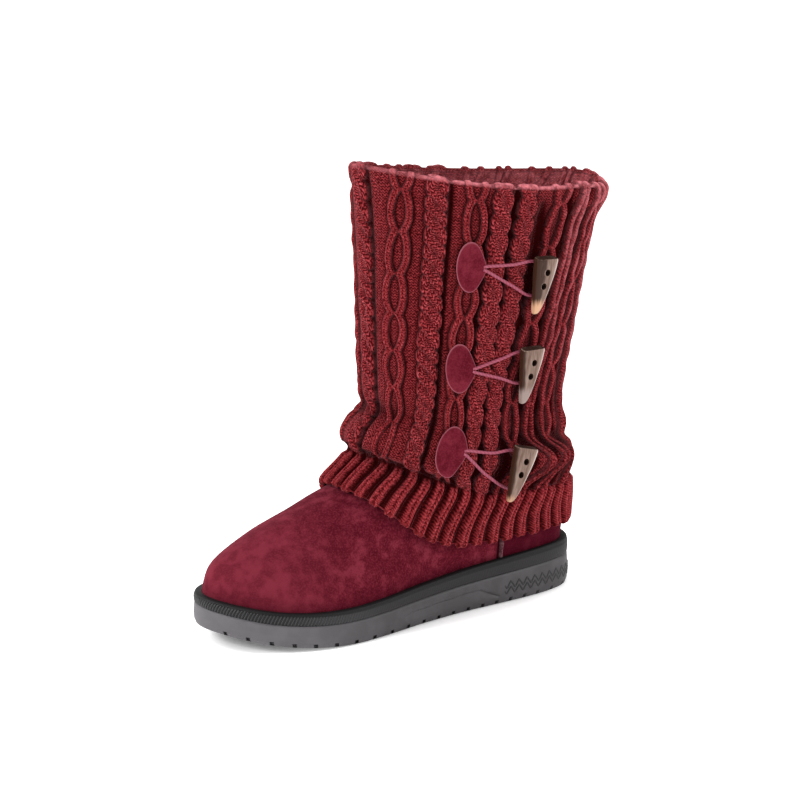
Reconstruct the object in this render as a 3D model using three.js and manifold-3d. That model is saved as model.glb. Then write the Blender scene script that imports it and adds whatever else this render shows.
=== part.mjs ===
// A left winter boot: a suede foot on a moulded rubber sole, a cable-knit shaft, and three horn toggles
// held by cord loops on suede patches. Millimetres, +Z up; the toe points along -Y, the outer side is +X.
import * as THREE from "three";
import Module from "manifold-3d";

const wasm = await Module();
wasm.setup();
const { lerp, smoothstep } = THREE.MathUtils;

// Overall sizes.
const SOLE_LENGTH = 272;
const BALL_HALF = 48.8;
const HEEL_RADIUS = 33;
const TOE_RADIUS = 30;
const TOE_SPRING = 10;
const SPRING_START = 0.68;
const MEETING_GAP = 0.3;

// Outline of the sole by share of its length from heel to toe: half-width, sideways shift of the centre
// line, thickness of the outsole, and height of the black band above it.
const SOLE_PLAN = [
  { along: 0.0, half: 0, centre: 0, thick: 20.5, band: 11 },
  { along: 0.1, half: 31, centre: 0, thick: 20.5, band: 11 },
  { along: 0.22, half: 34.8, centre: 0.3, thick: 19.8, band: 10.5 },
  { along: 0.36, half: 35, centre: 1.8, thick: 18.4, band: 9.8 },
  { along: 0.5, half: 37.8, centre: 3.4, thick: 16.8, band: 9 },
  { along: 0.62, half: 43.8, centre: 3.6, thick: 15.6, band: 8.4 },
  { along: 0.74, half: BALL_HALF, centre: 1.8, thick: 15, band: 8 },
  { along: 0.84, half: 46.6, centre: -0.6, thick: 14.4, band: 7.4 },
  { along: 0.93, half: 35.5, centre: -3.6, thick: 13.9, band: 6.8 },
  { along: 1.0, half: 0, centre: -7, thick: 13.5, band: 6.2 },
];

// Outsole: wall profile from tread to top, tread grooves, and the wedge-shaped recess in each side.
const SOLE_POINTS = 56;
const OUTSOLE_WALL = [
  { inset: 2.4, rise: 0, share: 0 },
  { inset: 0.4, rise: 2.2, share: 0 },
  { inset: 0, rise: 0, share: 0.55 },
  { inset: 0.8, rise: 0, share: 1 },
];
const GROOVE = { pitch: 11, width: 3.2, depth: 2.6, count: 24 };
const SIDE_RECESS = { front: -20, peak: 46, back: 56, floor: 5.6, tipTop: 6.6, peakTop: 14.4, depth: 1.3 };

// Black band: closed profile as inset from the sole edge and share of the band height.
const FOXING_WALL = [
  { inset: 5.2, share: 0 },
  { inset: 0.9, share: 0 },
  { inset: 0.1, share: 0.4 },
  { inset: 0.6, share: 0.8 },
  { inset: 2.4, share: 1 },
  { inset: 5.2, share: 1 },
];

// Upper: a row per section, from the sole to the ankle. backUp and frontUp are its heights over the
// outsole, side moves it sideways, heel widens its back half, and oval goes from 0, the plan of the sole,
// to 1, the ellipse of the ankle.
const UPPER_INSET = 5.5;
const UPPER_WALL = 3;
const UPPER_SECTIONS = [
  { row: 0, backUp: 0.3, frontUp: 0.3, back: 130.5, toe: -130.5, half: 43.3, side: 0, heel: 0, oval: 0 },
  { row: 1, backUp: 11.5, frontUp: 8, back: 130.5, toe: -130.5, half: 43.3, side: 0, heel: 0, oval: 0 },
  { row: 2, backUp: 20, frontUp: 22.5, back: 132.3, toe: -126, half: 42.8, side: -0.5, heel: 2, oval: 0.1 },
  { row: 3, backUp: 31.5, frontUp: 36, back: 132, toe: -112, half: 40, side: -1.6, heel: 3.4, oval: 0.3 },
  { row: 4, backUp: 43.5, frontUp: 49.5, back: 130.5, toe: -88, half: 39, side: -1.4, heel: 4, oval: 0.55 },
  { row: 5, backUp: 55.5, frontUp: 61, back: 128.5, toe: -62, half: 38, side: -1, heel: 3.6, oval: 0.8 },
  { row: 6, backUp: 67.5, frontUp: 69.5, back: 126.5, toe: -37, half: 37.5, side: -0.6, heel: 2.6, oval: 0.95 },
  { row: 7, backUp: 80, frontUp: 80, back: 124.5, toe: -14, half: 37, side: 0, heel: 1.6, oval: 1 },
];
const HEEL_ZONE = { end: 0.62, blend: 0.32 };
const UPPER_OUTSIDE_ROWS = [0, 1, 1.4, 1.8, 2.3, 2.8, 3.4, 4, 4.7, 5.4, 6.2, 7];
const UPPER_INSIDE_ROWS = [7, 6, 5, 4, 3, 2.2, 1.4, 0];

// Side seams: raised strips on the upper where vamp and heel quarter meet; angle and spread are radians.
const WELT = { angle: 1.085, spread: 0.02, height: 1, from: 1.06, to: 2.2, steps: 4 };

const INSOLE = { inset: 10, thickness: 4 };

// Knit shaft: a row per section, up from the hem in millimetres. Low and high are the heights at the
// back and the front, hang says how far the section sags over the instep, lean is its rise towards the
// outer side, sag its dip at both sides, and bend the power of the sine in its plan, more so in front.
const KNIT_SECTIONS = [
  { up: 0, low: 44, high: 95, back: 138.2, front: -42.5, half: 47, hang: 1, lean: 0, sag: 0, bend: 0.7 },
  { up: 14, low: 57, high: 100, back: 138, front: -36, half: 49, hang: 0.9, lean: 0, sag: 0, bend: 0.74 },
  { up: 28, low: 70, high: 106, back: 137, front: -25, half: 50.5, hang: 0.7, lean: 0, sag: 0, bend: 0.82 },
  { up: 40, low: 82, high: 113, back: 135.5, front: -28.5, half: 52.5, hang: 0.5, lean: 0, sag: 0, bend: 0.92 },
  { up: 55, low: 98, high: 125, back: 132.5, front: -21, half: 53, hang: 0.3, lean: 0, sag: 0, bend: 1 },
  { up: 66, low: 107.5, high: 133.5, back: 130, front: -15.5, half: 52.4, hang: 0.2, lean: 0, sag: 0, bend: 1 },
  { up: 86, low: 127, high: 150, back: 126, front: -15.5, half: 50.5, hang: 0, lean: 0, sag: 0, bend: 1 },
  { up: 140, low: 179, high: 205, back: 136, front: -17.5, half: 51.5, hang: 0, lean: 0.02, sag: 1, bend: 1 },
  { up: 188, low: 230, high: 252, back: 148.5, front: -19.5, half: 52.5, hang: 0, lean: 0.045, sag: 2, bend: 1 },
  { up: 218, low: 263, high: 284, back: 162, front: -23, half: 52, hang: 0, lean: 0.06, sag: 6, bend: 1 },
];
const HEM_RISE = { from: 0.52, to: 1.1 };

// The hem's line on the upper: the row it follows by share of the way from heel to toe.
const HEM_LINE = [
  { along: 0, row: 2.3 },
  { along: 0.29, row: 2.4 },
  { along: 0.41, row: 2.62 },
  { along: 0.48, row: 2.98 },
  { along: 0.65, row: 4.05 },
  { along: 0.9, row: 5.47 },
  { along: 1, row: 5.95 },
];
const HEM_EASE = 0.6;
const HEM_REACH = 34;
const KNIT_WALL = 5;
const KNIT_COLUMNS = 90;
const HEM_RIB = { top: 30, height: 0.8 };
const RIM_ROLL = { inward: 4, rise: 5, width: 8, fade: 12 };

// Cables round the shaft from the back over the outer side: r is a rope, c a chain of ovals.
const CABLE_ORDER = "rcrcrrcrcrcrcrcrcr";
const CABLE = { height: 1.3, ground: -0.9, ropeWidth: 6.5, strandWidth: 3.6, spread: 4.6, ovalPitch: 26 };
const CABLE_ROWS = { count: 9, first: 91 };
const KNIT_UPS = [
  ...[0, 10, 20, 29, 34, 40, 47, 56, 68, 78],
  ...Array.from({ length: CABLE_ROWS.count }, (_, i) => CABLE_ROWS.first + (i * CABLE.ovalPitch) / 2),
  ...[207, 218],
];
const LINING_UPS = [200, 130, 80, 30, 0];

// Fastenings on the outer side: where each sits on the knit (share of the girth from the back, and up),
// the turn of its toggle in radians, and how far the toggle stands off the knit.
const FASTENINGS = [
  { name: "top", patchAt: 0.334, patchUp: 169, toggleAt: 0.218, toggleUp: 178.5, turn: 0.045, stand: 4.1 },
  { name: "middle", patchAt: 0.341, patchUp: 105.4, toggleAt: 0.224, toggleUp: 123, turn: 0.045, stand: 4.1 },
  { name: "bottom", patchAt: 0.349, patchUp: 52, toggleAt: 0.236, toggleUp: 59, turn: -0.18, stand: 5.1 },
];
const PATCH = { width: 17.2, length: 31, thickness: 1.6, lift: 1.7, tab: 2, points: 20 };
const CORD = { radius: 1, lift: 2.8, spread: 10, legs: 1.4, behind: 14, sides: 8, steps: 18 };
const TOGGLE = { taper: 4, sides: 12, roundness: 0.5, holeRadius: 2.1, holes: [10, 19] };
const TOGGLE_SECTIONS = [
  { down: 0, width: 16.2, thick: 8.6, bow: 0 },
  { down: 9, width: 14.4, thick: 8.6, bow: -0.7 },
  { down: 19, width: 11.2, thick: 7.8, bow: -1.8 },
  { down: 28, width: 7.9, thick: 6.4, bow: -2.8 },
  { down: 33.5, width: 5.6, thick: 5, bow: -3.4 },
  { down: 36.5, width: 3.2, thick: 2.6, bow: -3.7 },
];

// A smooth curve through one column of a table, read at any value of its key column.
function column(rows, key, name) {
  const keys = rows.map((row) => row[key]);
  const values = rows.map((row) => row[name]);
  const last = rows.length - 1;
  const slopes = values.map((_, i) => {
    const before = Math.max(i - 1, 0);
    const after = Math.min(i + 1, last);
    return (values[after] - values[before]) / (keys[after] - keys[before]);
  });
  return (at) => {
    const next = keys.findIndex((key) => key > at);
    const i = next < 0 ? last - 1 : Math.max(next - 1, 0);
    const span = keys[i + 1] - keys[i];
    const t = (at - keys[i]) / span;
    const s = 1 - t;
    const start = values[i] * s * s * (1 + 2 * t) + slopes[i] * span * s * s * t;
    const end = values[i + 1] * t * t * (3 - 2 * t) - slopes[i + 1] * span * t * t * s;
    return start + end;
  };
}

function columns(rows, key) {
  const names = Object.keys(rows[0]).filter((name) => name !== key);
  return Object.fromEntries(names.map((name) => [name, column(rows, key, name)]));
}

// Half-width over the sine of the angle round the outline, which stays smooth at both ends.
const fullness = column(
  SOLE_PLAN.map(({ along, half }) => {
    const radius = along === 0 ? HEEL_RADIUS : TOE_RADIUS;
    const chord = 2 * Math.sqrt(along * (1 - along));
    return { along, full: chord > 0 ? half / chord : Math.sqrt((radius * SOLE_LENGTH) / 2) };
  }),
  "along",
  "full",
);
const plan = columns(SOLE_PLAN, "along");
const shareAt = (y) => THREE.MathUtils.clamp(0.5 - y / SOLE_LENGTH, 0, 1);

function springAt(along) {
  const reach = Math.max(0, along - SPRING_START) / (1 - SPRING_START);
  return TOE_SPRING * reach * reach;
}

function soleTop(along) {
  return springAt(along) + plan.thick(along);
}

// A point of the sole's edge moved inward; the angle runs from the heel over the outer side to the toe.
function soleEdge(angle, inset) {
  const along = (1 - Math.cos(angle)) / 2;
  const x = plan.centre(along) + (fullness(along) - inset) * Math.sin(angle);
  const y = (SOLE_LENGTH / 2 - inset) * Math.cos(angle);
  return { x, y, along };
}

function ring(count, pointAt) {
  return Array.from({ length: count }, (_, i) => pointAt((2 * Math.PI * i) / count, i));
}

// Triangles between neighbouring rings of equal size. A closed body joins the last ring to the first;
// an open one is capped by strips across its end rings.
function ringTriangles(rings, closed) {
  const count = rings[0].length;
  const triangles = [];
  const quad = (a, b, c, d) => triangles.push([a, b, c], [a, c, d]);
  const bands = closed ? rings.length : rings.length - 1;
  for (let r = 0; r < bands; r += 1) {
    const low = r * count;
    const high = ((r + 1) % rings.length) * count;
    for (let i = 0; i < count; i += 1) {
      const j = (i + 1) % count;
      quad(low + i, low + j, high + j, high + i);
    }
  }
  if (closed) {
    return triangles;
  }
  const top = (rings.length - 1) * count;
  for (let i = 0; i < count / 2; i += 1) {
    const far = (count - i) % count;
    const step = count - i - 1;
    if (i > 0) {
      triangles.push([far, i + 1, i], [top + i, top + i + 1, top + far]);
    }
    if (step !== i + 1) {
      triangles.push([far, step, i + 1], [top + i + 1, top + step, top + far]);
    }
  }
  return triangles;
}

function ringSolid(rings, closed) {
  const points = rings.flat();
  const triangles = ringTriangles(rings, closed);
  const volume = triangles.reduce((sum, [a, b, c]) => {
    return sum + points[a].dot(points[b].clone().cross(points[c]));
  }, 0);
  const facing = volume < 0 ? triangles.map(([a, b, c]) => [a, c, b]) : triangles;
  const geometry = new THREE.BufferGeometry();
  geometry.setAttribute("position", new THREE.Float32BufferAttribute(points.flatMap((p) => p.toArray()), 3));
  geometry.setIndex(facing.flat());
  return geometry;
}

function toManifold(geometry) {
  const vertProperties = new Float32Array(geometry.getAttribute("position").array);
  const triVerts = new Uint32Array(geometry.getIndex().array);
  return new wasm.Manifold(new wasm.Mesh({ numProp: 3, vertProperties, triVerts }));
}

function cut(geometry, cutters) {
  const body = cutters.reduce((left, cutter) => left.subtract(toManifold(cutter)), toManifold(geometry));
  const mesh = body.getMesh();
  const result = new THREE.BufferGeometry();
  result.setAttribute("position", new THREE.Float32BufferAttribute(mesh.vertProperties, 3));
  result.setIndex(Array.from(mesh.triVerts));
  return result;
}

// Moves a surface point along the outward normal; surface takes the place round the ring and the row.
function raised(surface, around, row, height, step) {
  const run = surface(around + step.around, row).sub(surface(around - step.around, row));
  const climb = surface(around, row + step.row).sub(surface(around, row - step.row));
  return surface(around, row).addScaledVector(climb.cross(run).normalize(), height);
}

function makeOutsole() {
  const rings = OUTSOLE_WALL.map(({ inset, rise, share }) =>
    ring(SOLE_POINTS, (angle) => {
      const { x, y, along } = soleEdge(angle, inset);
      return new THREE.Vector3(x, y, springAt(along) + rise + share * plan.thick(along));
    }),
  );
  const grooves = Array.from({ length: GROOVE.count }, (_, i) => {
    const y = (i - (GROOVE.count - 1) / 2) * GROOVE.pitch;
    const top = springAt(shareAt(y)) + GROOVE.depth;
    const section = (across) => [
      new THREE.Vector3(across, y - GROOVE.width / 2, -SOLE_LENGTH / 2),
      new THREE.Vector3(across, y + GROOVE.width / 2, -SOLE_LENGTH / 2),
      new THREE.Vector3(across, y + GROOVE.width / 2, top),
      new THREE.Vector3(across, y - GROOVE.width / 2, top),
    ];
    return ringSolid([section(-SOLE_LENGTH / 2), section(SOLE_LENGTH / 2)], false);
  });
  const recesses = [1, -1].map((side) => sideRecess(side));
  return cut(ringSolid(rings, false), [...grooves, ...recesses]);
}

// The cutter of a side recess: it follows the sole edge and rises from its front tip to a peak.
function sideRecess(side) {
  const { front, peak, back, floor, tipTop, peakTop, depth } = SIDE_RECESS;
  const steps = 8;
  const places = Array.from({ length: steps }, (_, i) => lerp(front, peak, i / (steps - 1)));
  const tops = places.map((_, i) => lerp(tipTop, peakTop, i / (steps - 1)));
  const sections = [...places, back].map((y, i) => {
    const angle = Math.acos((2 * y) / SOLE_LENGTH) * side;
    const inner = soleEdge(angle, depth).x;
    const outer = soleEdge(angle, -depth * 4).x;
    const top = i < steps ? tops[i] : floor + 1;
    return [
      new THREE.Vector3(inner, y, floor),
      new THREE.Vector3(outer, y, floor),
      new THREE.Vector3(outer, y, top),
      new THREE.Vector3(inner, y, top),
    ];
  });
  return ringSolid(sections, false);
}

function makeFoxing() {
  const rings = FOXING_WALL.map(({ inset, share }) =>
    ring(SOLE_POINTS, (angle) => {
      const { x, y, along } = soleEdge(angle, inset);
      return new THREE.Vector3(x, y, soleTop(along) + MEETING_GAP + share * plan.band(along));
    }),
  );
  return ringSolid(rings, true);
}

function makeInsole() {
  const rings = [MEETING_GAP, MEETING_GAP + INSOLE.thickness].map((height) =>
    ring(SOLE_POINTS, (angle) => {
      const { x, y, along } = soleEdge(angle, INSOLE.inset);
      return new THREE.Vector3(x, y, soleTop(along) + height);
    }),
  );
  return ringSolid(rings, false);
}

const upper = columns(UPPER_SECTIONS, "row");
const UPPER_TOP = UPPER_SECTIONS.length - 1;

// The outside of the suede upper by angle round the foot and row of the table.
function upperPoint(angle, row) {
  const at = THREE.MathUtils.clamp(row, 0, UPPER_TOP);
  const along = (1 - Math.cos(angle)) / 2;
  const half = upper.half(at);
  const sole = ((fullness(along) - UPPER_INSET) * half) / (BALL_HALF - UPPER_INSET);
  const oval = upper.oval(at);
  const middle = upper.side(at) + plan.centre(along) * (1 - oval);
  const inHeel = smoothstep(HEEL_ZONE.end - along, 0, HEEL_ZONE.blend);
  const full = lerp(sole, half, oval) + upper.heel(at) * inHeel;
  const x = middle + full * Math.sin(angle);
  const y = lerp(upper.back(at), upper.toe(at), along);
  const z = soleTop(shareAt(y)) + lerp(upper.backUp(at), upper.frontUp(at), along);
  return new THREE.Vector3(x, y, z);
}

function upperRaised(angle, row, height) {
  return raised(upperPoint, angle, row, height, { around: 0.02, row: 0.05 });
}

function makeUpper() {
  const outside = UPPER_OUTSIDE_ROWS.map((row) => ring(SOLE_POINTS, (angle) => upperPoint(angle, row)));
  const inside = UPPER_INSIDE_ROWS.map((row) =>
    ring(SOLE_POINTS, (angle) => {
      const point = upperRaised(angle, row, -UPPER_WALL);
      const edge = row === 0 || row === UPPER_TOP;
      return edge ? point.setZ(upperPoint(angle, row).z) : point;
    }),
  );
  return ringSolid([...outside, ...inside], true);
}

function makeWelt(side) {
  const rows = Array.from({ length: WELT.steps + 1 }, (_, i) => lerp(WELT.from, WELT.to, i / WELT.steps));
  const corner = (offset, row, height) => upperRaised(side * WELT.angle + offset * WELT.spread, row, height);
  const sections = rows.map((row) => [
    corner(-1, row, MEETING_GAP),
    corner(1, row, MEETING_GAP),
    corner(0.6, row, MEETING_GAP + WELT.height),
    corner(-0.6, row, MEETING_GAP + WELT.height),
  ]);
  return ringSolid(sections, false);
}

const knit = columns(KNIT_SECTIONS, "up");
const hemRow = column(HEM_LINE, "along", "row");
const CURVE_POINTS = 48;
const alongAt = (angle) => (1 - Math.cos(angle)) / 2;

// The hem lies on the upper along its own line.
const hemCurve = new THREE.CatmullRomCurve3(
  ring(CURVE_POINTS, (angle) => upperRaised(angle, hemRow(alongAt(angle)), KNIT_WALL + HEM_EASE)),
  true,
);

// One row of the shaft's table as a closed curve from the back over the outer side.
function sectionCurve(up) {
  const points = ring(CURVE_POINTS, (angle) => {
    const along = alongAt(angle);
    const side = Math.abs(Math.sin(angle));
    const power = lerp(1, knit.bend(up), along > 0.5 ? 1 : 0.35);
    const x = knit.half(up) * side ** power * Math.sign(Math.sin(angle));
    const y = lerp(knit.back(up), knit.front(up), along);
    const rise = lerp(along, smoothstep(along, HEM_RISE.from, HEM_RISE.to), knit.hang(up));
    const level = lerp(knit.low(up), knit.high(up), rise);
    return new THREE.Vector3(x, y, level + knit.lean(up) * x - knit.sag(up) * side * side);
  });
  return new THREE.CatmullRomCurve3(points, true);
}

const hemSection = sectionCurve(0);
const knitCurves = new Map();

// The mean outside of the knit at one height: the shaft's section, drawn towards the hem near the hem.
function knitCurve(up) {
  if (!knitCurves.has(up)) {
    const section = sectionCurve(up);
    const pull = 1 - smoothstep(up, 0, HEM_REACH);
    const points = ring(CURVE_POINTS, (_, i) => {
      const share = i / CURVE_POINTS;
      const offset = hemCurve.getPointAt(share).sub(hemSection.getPointAt(share));
      return section.getPointAt(share).addScaledVector(offset, pull);
    });
    knitCurves.set(up, new THREE.CatmullRomCurve3(points, true));
  }
  return knitCurves.get(up);
}

function knitPoint(share, up) {
  return knitCurve(up).getPointAt(((share % 1) + 1) % 1);
}

function knitRaised(share, up, height) {
  return raised(knitPoint, share, up, height, { around: 0.004, row: 1 });
}

// Relief of the knit: ribs at the hem, and above it ropes and chains standing over a sunken ground.
function knitRelief(share, up) {
  if (up < HEM_RIB.top) {
    return HEM_RIB.height * Math.cos(Math.PI * Math.round(share * KNIT_COLUMNS));
  }
  const girth = knitCurve(up).getLength();
  const place = share * CABLE_ORDER.length;
  const index = Math.round(place);
  const offset = ((place - index) * girth) / CABLE_ORDER.length;
  const bump = (centre, width) => Math.exp(-(((offset - centre) / width) ** 2) * 2);
  const opening = CABLE.spread * Math.abs(Math.cos((Math.PI * up) / CABLE.ovalPitch));
  const isRope = CABLE_ORDER[index % CABLE_ORDER.length] === "r";
  const strands = Math.max(bump(opening, CABLE.strandWidth), bump(-opening, CABLE.strandWidth));
  return lerp(CABLE.ground, CABLE.height, isRope ? bump(0, CABLE.ropeWidth) : strands);
}

function makeKnit() {
  const around = (pointAt) => ring(KNIT_COLUMNS, (_, i) => pointAt(i / KNIT_COLUMNS));
  const rim = KNIT_UPS[KNIT_UPS.length - 1];
  const outside = KNIT_UPS.map((up) =>
    around((share) => {
      const fade = smoothstep(rim - up, 0, RIM_ROLL.fade);
      return knitRaised(share, up, knitRelief(share, up) * fade);
    }),
  );
  const crest = around((share) => {
    const point = knitRaised(share, rim, -RIM_ROLL.inward);
    return point.setZ(point.z + RIM_ROLL.rise);
  });
  const turn = around((share) => knitRaised(share, rim, -RIM_ROLL.width));
  const inside = LINING_UPS.map((up) => around((share) => knitRaised(share, up, -KNIT_WALL)));
  return ringSolid([...outside, crest, turn, ...inside], true);
}

// A patch: an oval with a small tab towards its toggle, laid on the knit.
function makePatch({ patchAt, patchUp }) {
  const girth = knitCurve(patchUp).getLength();
  const rim = (angle, scale) => {
    const tab = PATCH.tab * Math.max(0, Math.cos(angle)) ** 12;
    const across = ((PATCH.width / 2) * Math.cos(angle) + tab) * scale;
    const up = (PATCH.length / 2) * Math.sin(angle) * scale;
    return { share: patchAt - across / girth, up: patchUp + up };
  };
  const layer = (scale, height) =>
    ring(PATCH.points, (angle) => {
      const { share, up } = rim(angle, scale);
      return knitRaised(share, up, PATCH.lift + height);
    });
  const scales = [1, 0.5];
  const bottom = scales.map((scale) => layer(scale, 0)).reverse();
  const top = scales.map((scale) => layer(scale === 1 ? 0.97 : scale, PATCH.thickness));
  return ringSolid([...bottom, ...top], false);
}

// The place of a toggle: its top end, and the directions down it, across it and out from the knit.
function toggleFrame({ toggleAt, toggleUp, turn, stand }) {
  const origin = knitRaised(toggleAt, toggleUp, stand);
  const out = knitRaised(toggleAt, toggleUp, stand + 1).sub(origin).normalize();
  const down = knitRaised(toggleAt, toggleUp - 30, stand).sub(origin).normalize();
  down.applyAxisAngle(out, turn);
  const across = new THREE.Vector3().crossVectors(out, down).normalize();
  return (a, d, o) => {
    return origin.clone().addScaledVector(across, a).addScaledVector(down, d).addScaledVector(out, o);
  };
}

function makeToggle(fastening) {
  const at = toggleFrame(fastening);
  const rounded = (value) => Math.sign(value) * Math.abs(value) ** TOGGLE.roundness;
  const sections = TOGGLE_SECTIONS.map(({ down, width, thick, bow }, i) =>
    ring(TOGGLE.sides, (angle) => {
      const across = bow + (width / 2) * rounded(Math.cos(angle));
      const out = (thick / 2) * (1 + rounded(Math.sin(angle)));
      const slant = i === 0 ? (TOGGLE.taper * out) / thick : 0;
      return at(across, down + slant, out);
    }),
  );
  const holes = TOGGLE.holes.map((down) => {
    const end = (out) =>
      ring(8, (angle) => {
        return at(TOGGLE.holeRadius * Math.cos(angle), down + TOGGLE.holeRadius * Math.sin(angle), out);
      });
    return ringSolid([end(-TOGGLE.taper), end(TOGGLE.taper * 5)], false);
  });
  return cut(ringSolid(sections, false), holes);
}

// A cord loop: out from the patch tab, behind the toggle, and back.
function makeCord({ patchAt, patchUp, toggleAt, toggleUp }) {
  const girth = knitCurve(patchUp).getLength();
  const start = patchAt - (PATCH.width / 2 + PATCH.tab + MEETING_GAP) / girth;
  const behind = toggleUp - CORD.behind;
  const leg = (side) => [
    { share: start, up: patchUp + side * CORD.legs },
    { share: lerp(start, toggleAt, 0.45), up: lerp(patchUp, behind + side * CORD.spread, 0.6) },
    { share: lerp(start, toggleAt, 0.92), up: behind + side * CORD.spread },
  ];
  const turn = { share: toggleAt - 0.008, up: behind };
  const stops = [...leg(1), turn, ...leg(-1).reverse()];
  const path = new THREE.CatmullRomCurve3(stops.map(({ share, up }) => knitRaised(share, up, CORD.lift)));
  const section = ring(CORD.sides, (angle) => {
    return new THREE.Vector2(CORD.radius * Math.cos(angle), CORD.radius * Math.sin(angle));
  });
  return new THREE.ExtrudeGeometry(new THREE.Shape(section), { extrudePath: path, steps: CORD.steps });
}

const FINISHES = {
  greyRubber: { color: 0x5a585c, roughness: 0.7, metalness: 0 },
  blackRubber: { color: 0x232326, roughness: 0.55, metalness: 0 },
  suede: { color: 0x6e1c30, roughness: 0.95, metalness: 0 },
  lining: { color: 0x8b8078, roughness: 1, metalness: 0 },
  knit: { color: 0x7a2a33, roughness: 1, metalness: 0 },
  cord: { color: 0x8e4350, roughness: 0.8, metalness: 0 },
  horn: { color: 0x6b5a4e, roughness: 0.25, metalness: 0 },
};

const group = new THREE.Group();
group.name = "sweater_boot";

function addPart(name, geometry, finish) {
  geometry.computeVertexNormals();
  const mesh = new THREE.Mesh(geometry, new THREE.MeshStandardMaterial(FINISHES[finish]));
  mesh.name = name;
  mesh.material.name = finish;
  group.add(mesh);
}

addPart("outsole", makeOutsole(), "greyRubber");
addPart("foxing", makeFoxing(), "blackRubber");
addPart("insole", makeInsole(), "lining");
addPart("upper", makeUpper(), "suede");
addPart("seam_welt_lateral", makeWelt(1), "suede");
addPart("seam_welt_medial", makeWelt(-1), "suede");
addPart("knit_shaft", makeKnit(), "knit");
for (const fastening of FASTENINGS) {
  addPart(`patch_${fastening.name}`, makePatch(fastening), "suede");
  addPart(`cord_${fastening.name}`, makeCord(fastening), "cord");
  addPart(`toggle_${fastening.name}`, makeToggle(fastening), "horn");
}

export default group;
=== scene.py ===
"""Looks of a left winter boot with a suede foot and a cable-knit shaft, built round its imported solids.

Sizes in the classes are millimetres in the part's own frame: the toe points along -Y, the outer side
is +X and Z is up. Meshes are scaled to metres when they are made.
"""

import logging
import math
from collections.abc import Mapping, Sequence
from dataclasses import dataclass, field
from enum import Enum

import bmesh
import bpy
import numpy as np
from bpy.types import Material, NodeSocket, Object
from mathutils import Matrix, Vector


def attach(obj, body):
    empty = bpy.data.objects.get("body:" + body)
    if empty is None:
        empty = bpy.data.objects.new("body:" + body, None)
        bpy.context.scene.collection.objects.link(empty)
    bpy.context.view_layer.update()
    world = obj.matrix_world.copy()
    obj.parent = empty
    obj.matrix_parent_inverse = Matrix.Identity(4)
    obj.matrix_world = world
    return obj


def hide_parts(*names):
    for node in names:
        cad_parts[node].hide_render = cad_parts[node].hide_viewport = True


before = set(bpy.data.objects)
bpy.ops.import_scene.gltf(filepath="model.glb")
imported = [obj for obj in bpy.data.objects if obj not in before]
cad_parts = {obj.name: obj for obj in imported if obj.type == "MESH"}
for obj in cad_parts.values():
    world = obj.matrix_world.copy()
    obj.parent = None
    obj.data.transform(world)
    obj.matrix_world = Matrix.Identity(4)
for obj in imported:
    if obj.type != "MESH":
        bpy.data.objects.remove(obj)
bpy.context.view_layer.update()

MM = 0.001
LOG = logging.getLogger("boot")

Array = np.ndarray
Number = float | Array
Triple = tuple[float, float, float]
Colour = Triple
Span = tuple[float, float]


def smoothstep(value: Number, low: float, high: float) -> Array:
    """Eases from 0 at low to 1 at high."""
    share = np.clip((value - low) / (high - low), 0, 1)
    return share * share * (3 - 2 * share)


def between(start: Number, end: Number, share: Number) -> Array:
    """The value that lies a share of the way from start to end."""
    return start + (end - start) * share


def unit(vectors: Array) -> Array:
    """Vectors of length one along the last axis."""
    return vectors / np.linalg.norm(vectors, axis=-1, keepdims=True)


def hill(value: Number, centre: float, width: float) -> Array:
    """A soft hill of height one."""
    return np.exp(-(((value - centre) / width) ** 2))


def even_angles(count: int) -> Array:
    """Even angles once round."""
    return np.arange(count) / count * math.tau


def toe_share(angle: Number) -> Array:
    """The share of the way from heel to toe at an angle round the foot."""
    return (1 - np.cos(angle)) / 2


def lengths_after(steps: Array) -> Array:
    """The length reached after each step, from 0."""
    return np.concatenate([[0], np.cumsum(steps)])


def crossed_waves(size: Number, around: Array, row: Array, waves: Sequence[Span]) -> Array:
    """Bumps of a size where slanting waves cross; each has its speeds round and along the rows."""
    sines = (np.sin(around * by_angle + row * by_row) for by_angle, by_row in waves)
    return math.prod(sines, start=size)


def columns_of(profile: Sequence[Span]) -> tuple[Array, Array]:
    """The first and the second numbers of a profile, each as one column."""
    first, second = np.array(profile).T
    return first[:, None], second[:, None]


class SmoothCurve:
    """A smooth curve through a few values, read at any key."""

    def __init__(self, keys: Sequence[float], values: Array) -> None:
        """Keeps the keys and works out a slope at each.

        Args:
            keys: Rising places of the values.
            values: One number or one row of numbers for each key.
        """
        self.keys = np.asarray(keys, float)
        self.values = np.asarray(values, float)
        last = len(self.keys) - 1
        before = np.maximum(np.arange(last + 1) - 1, 0)
        after = np.minimum(np.arange(last + 1) + 1, last)
        run = (self.keys[after] - self.keys[before]).reshape(-1, *[1] * (self.values.ndim - 1))
        self.slopes = (self.values[after] - self.values[before]) / run

    def __call__(self, at: Number) -> Array:
        """The curve's value.

        Args:
            at: One key or an array of keys.

        Returns:
            A value, or a row of values, for each key.
        """
        at = np.asarray(at, float)
        low = np.clip(np.searchsorted(self.keys, at, side="right") - 1, 0, len(self.keys) - 2)
        wide = (..., *[None] * (self.values.ndim - 1))
        span = (self.keys[low + 1] - self.keys[low])[wide]
        ahead = (at - self.keys[low])[wide] / span
        behind = 1 - ahead
        start = self.values[low] * (1 + 2 * ahead) + self.slopes[low] * span * ahead
        end = self.values[low + 1] * (3 - 2 * ahead) - self.slopes[low + 1] * span * behind
        return start * behind**2 + end * ahead**2


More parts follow.
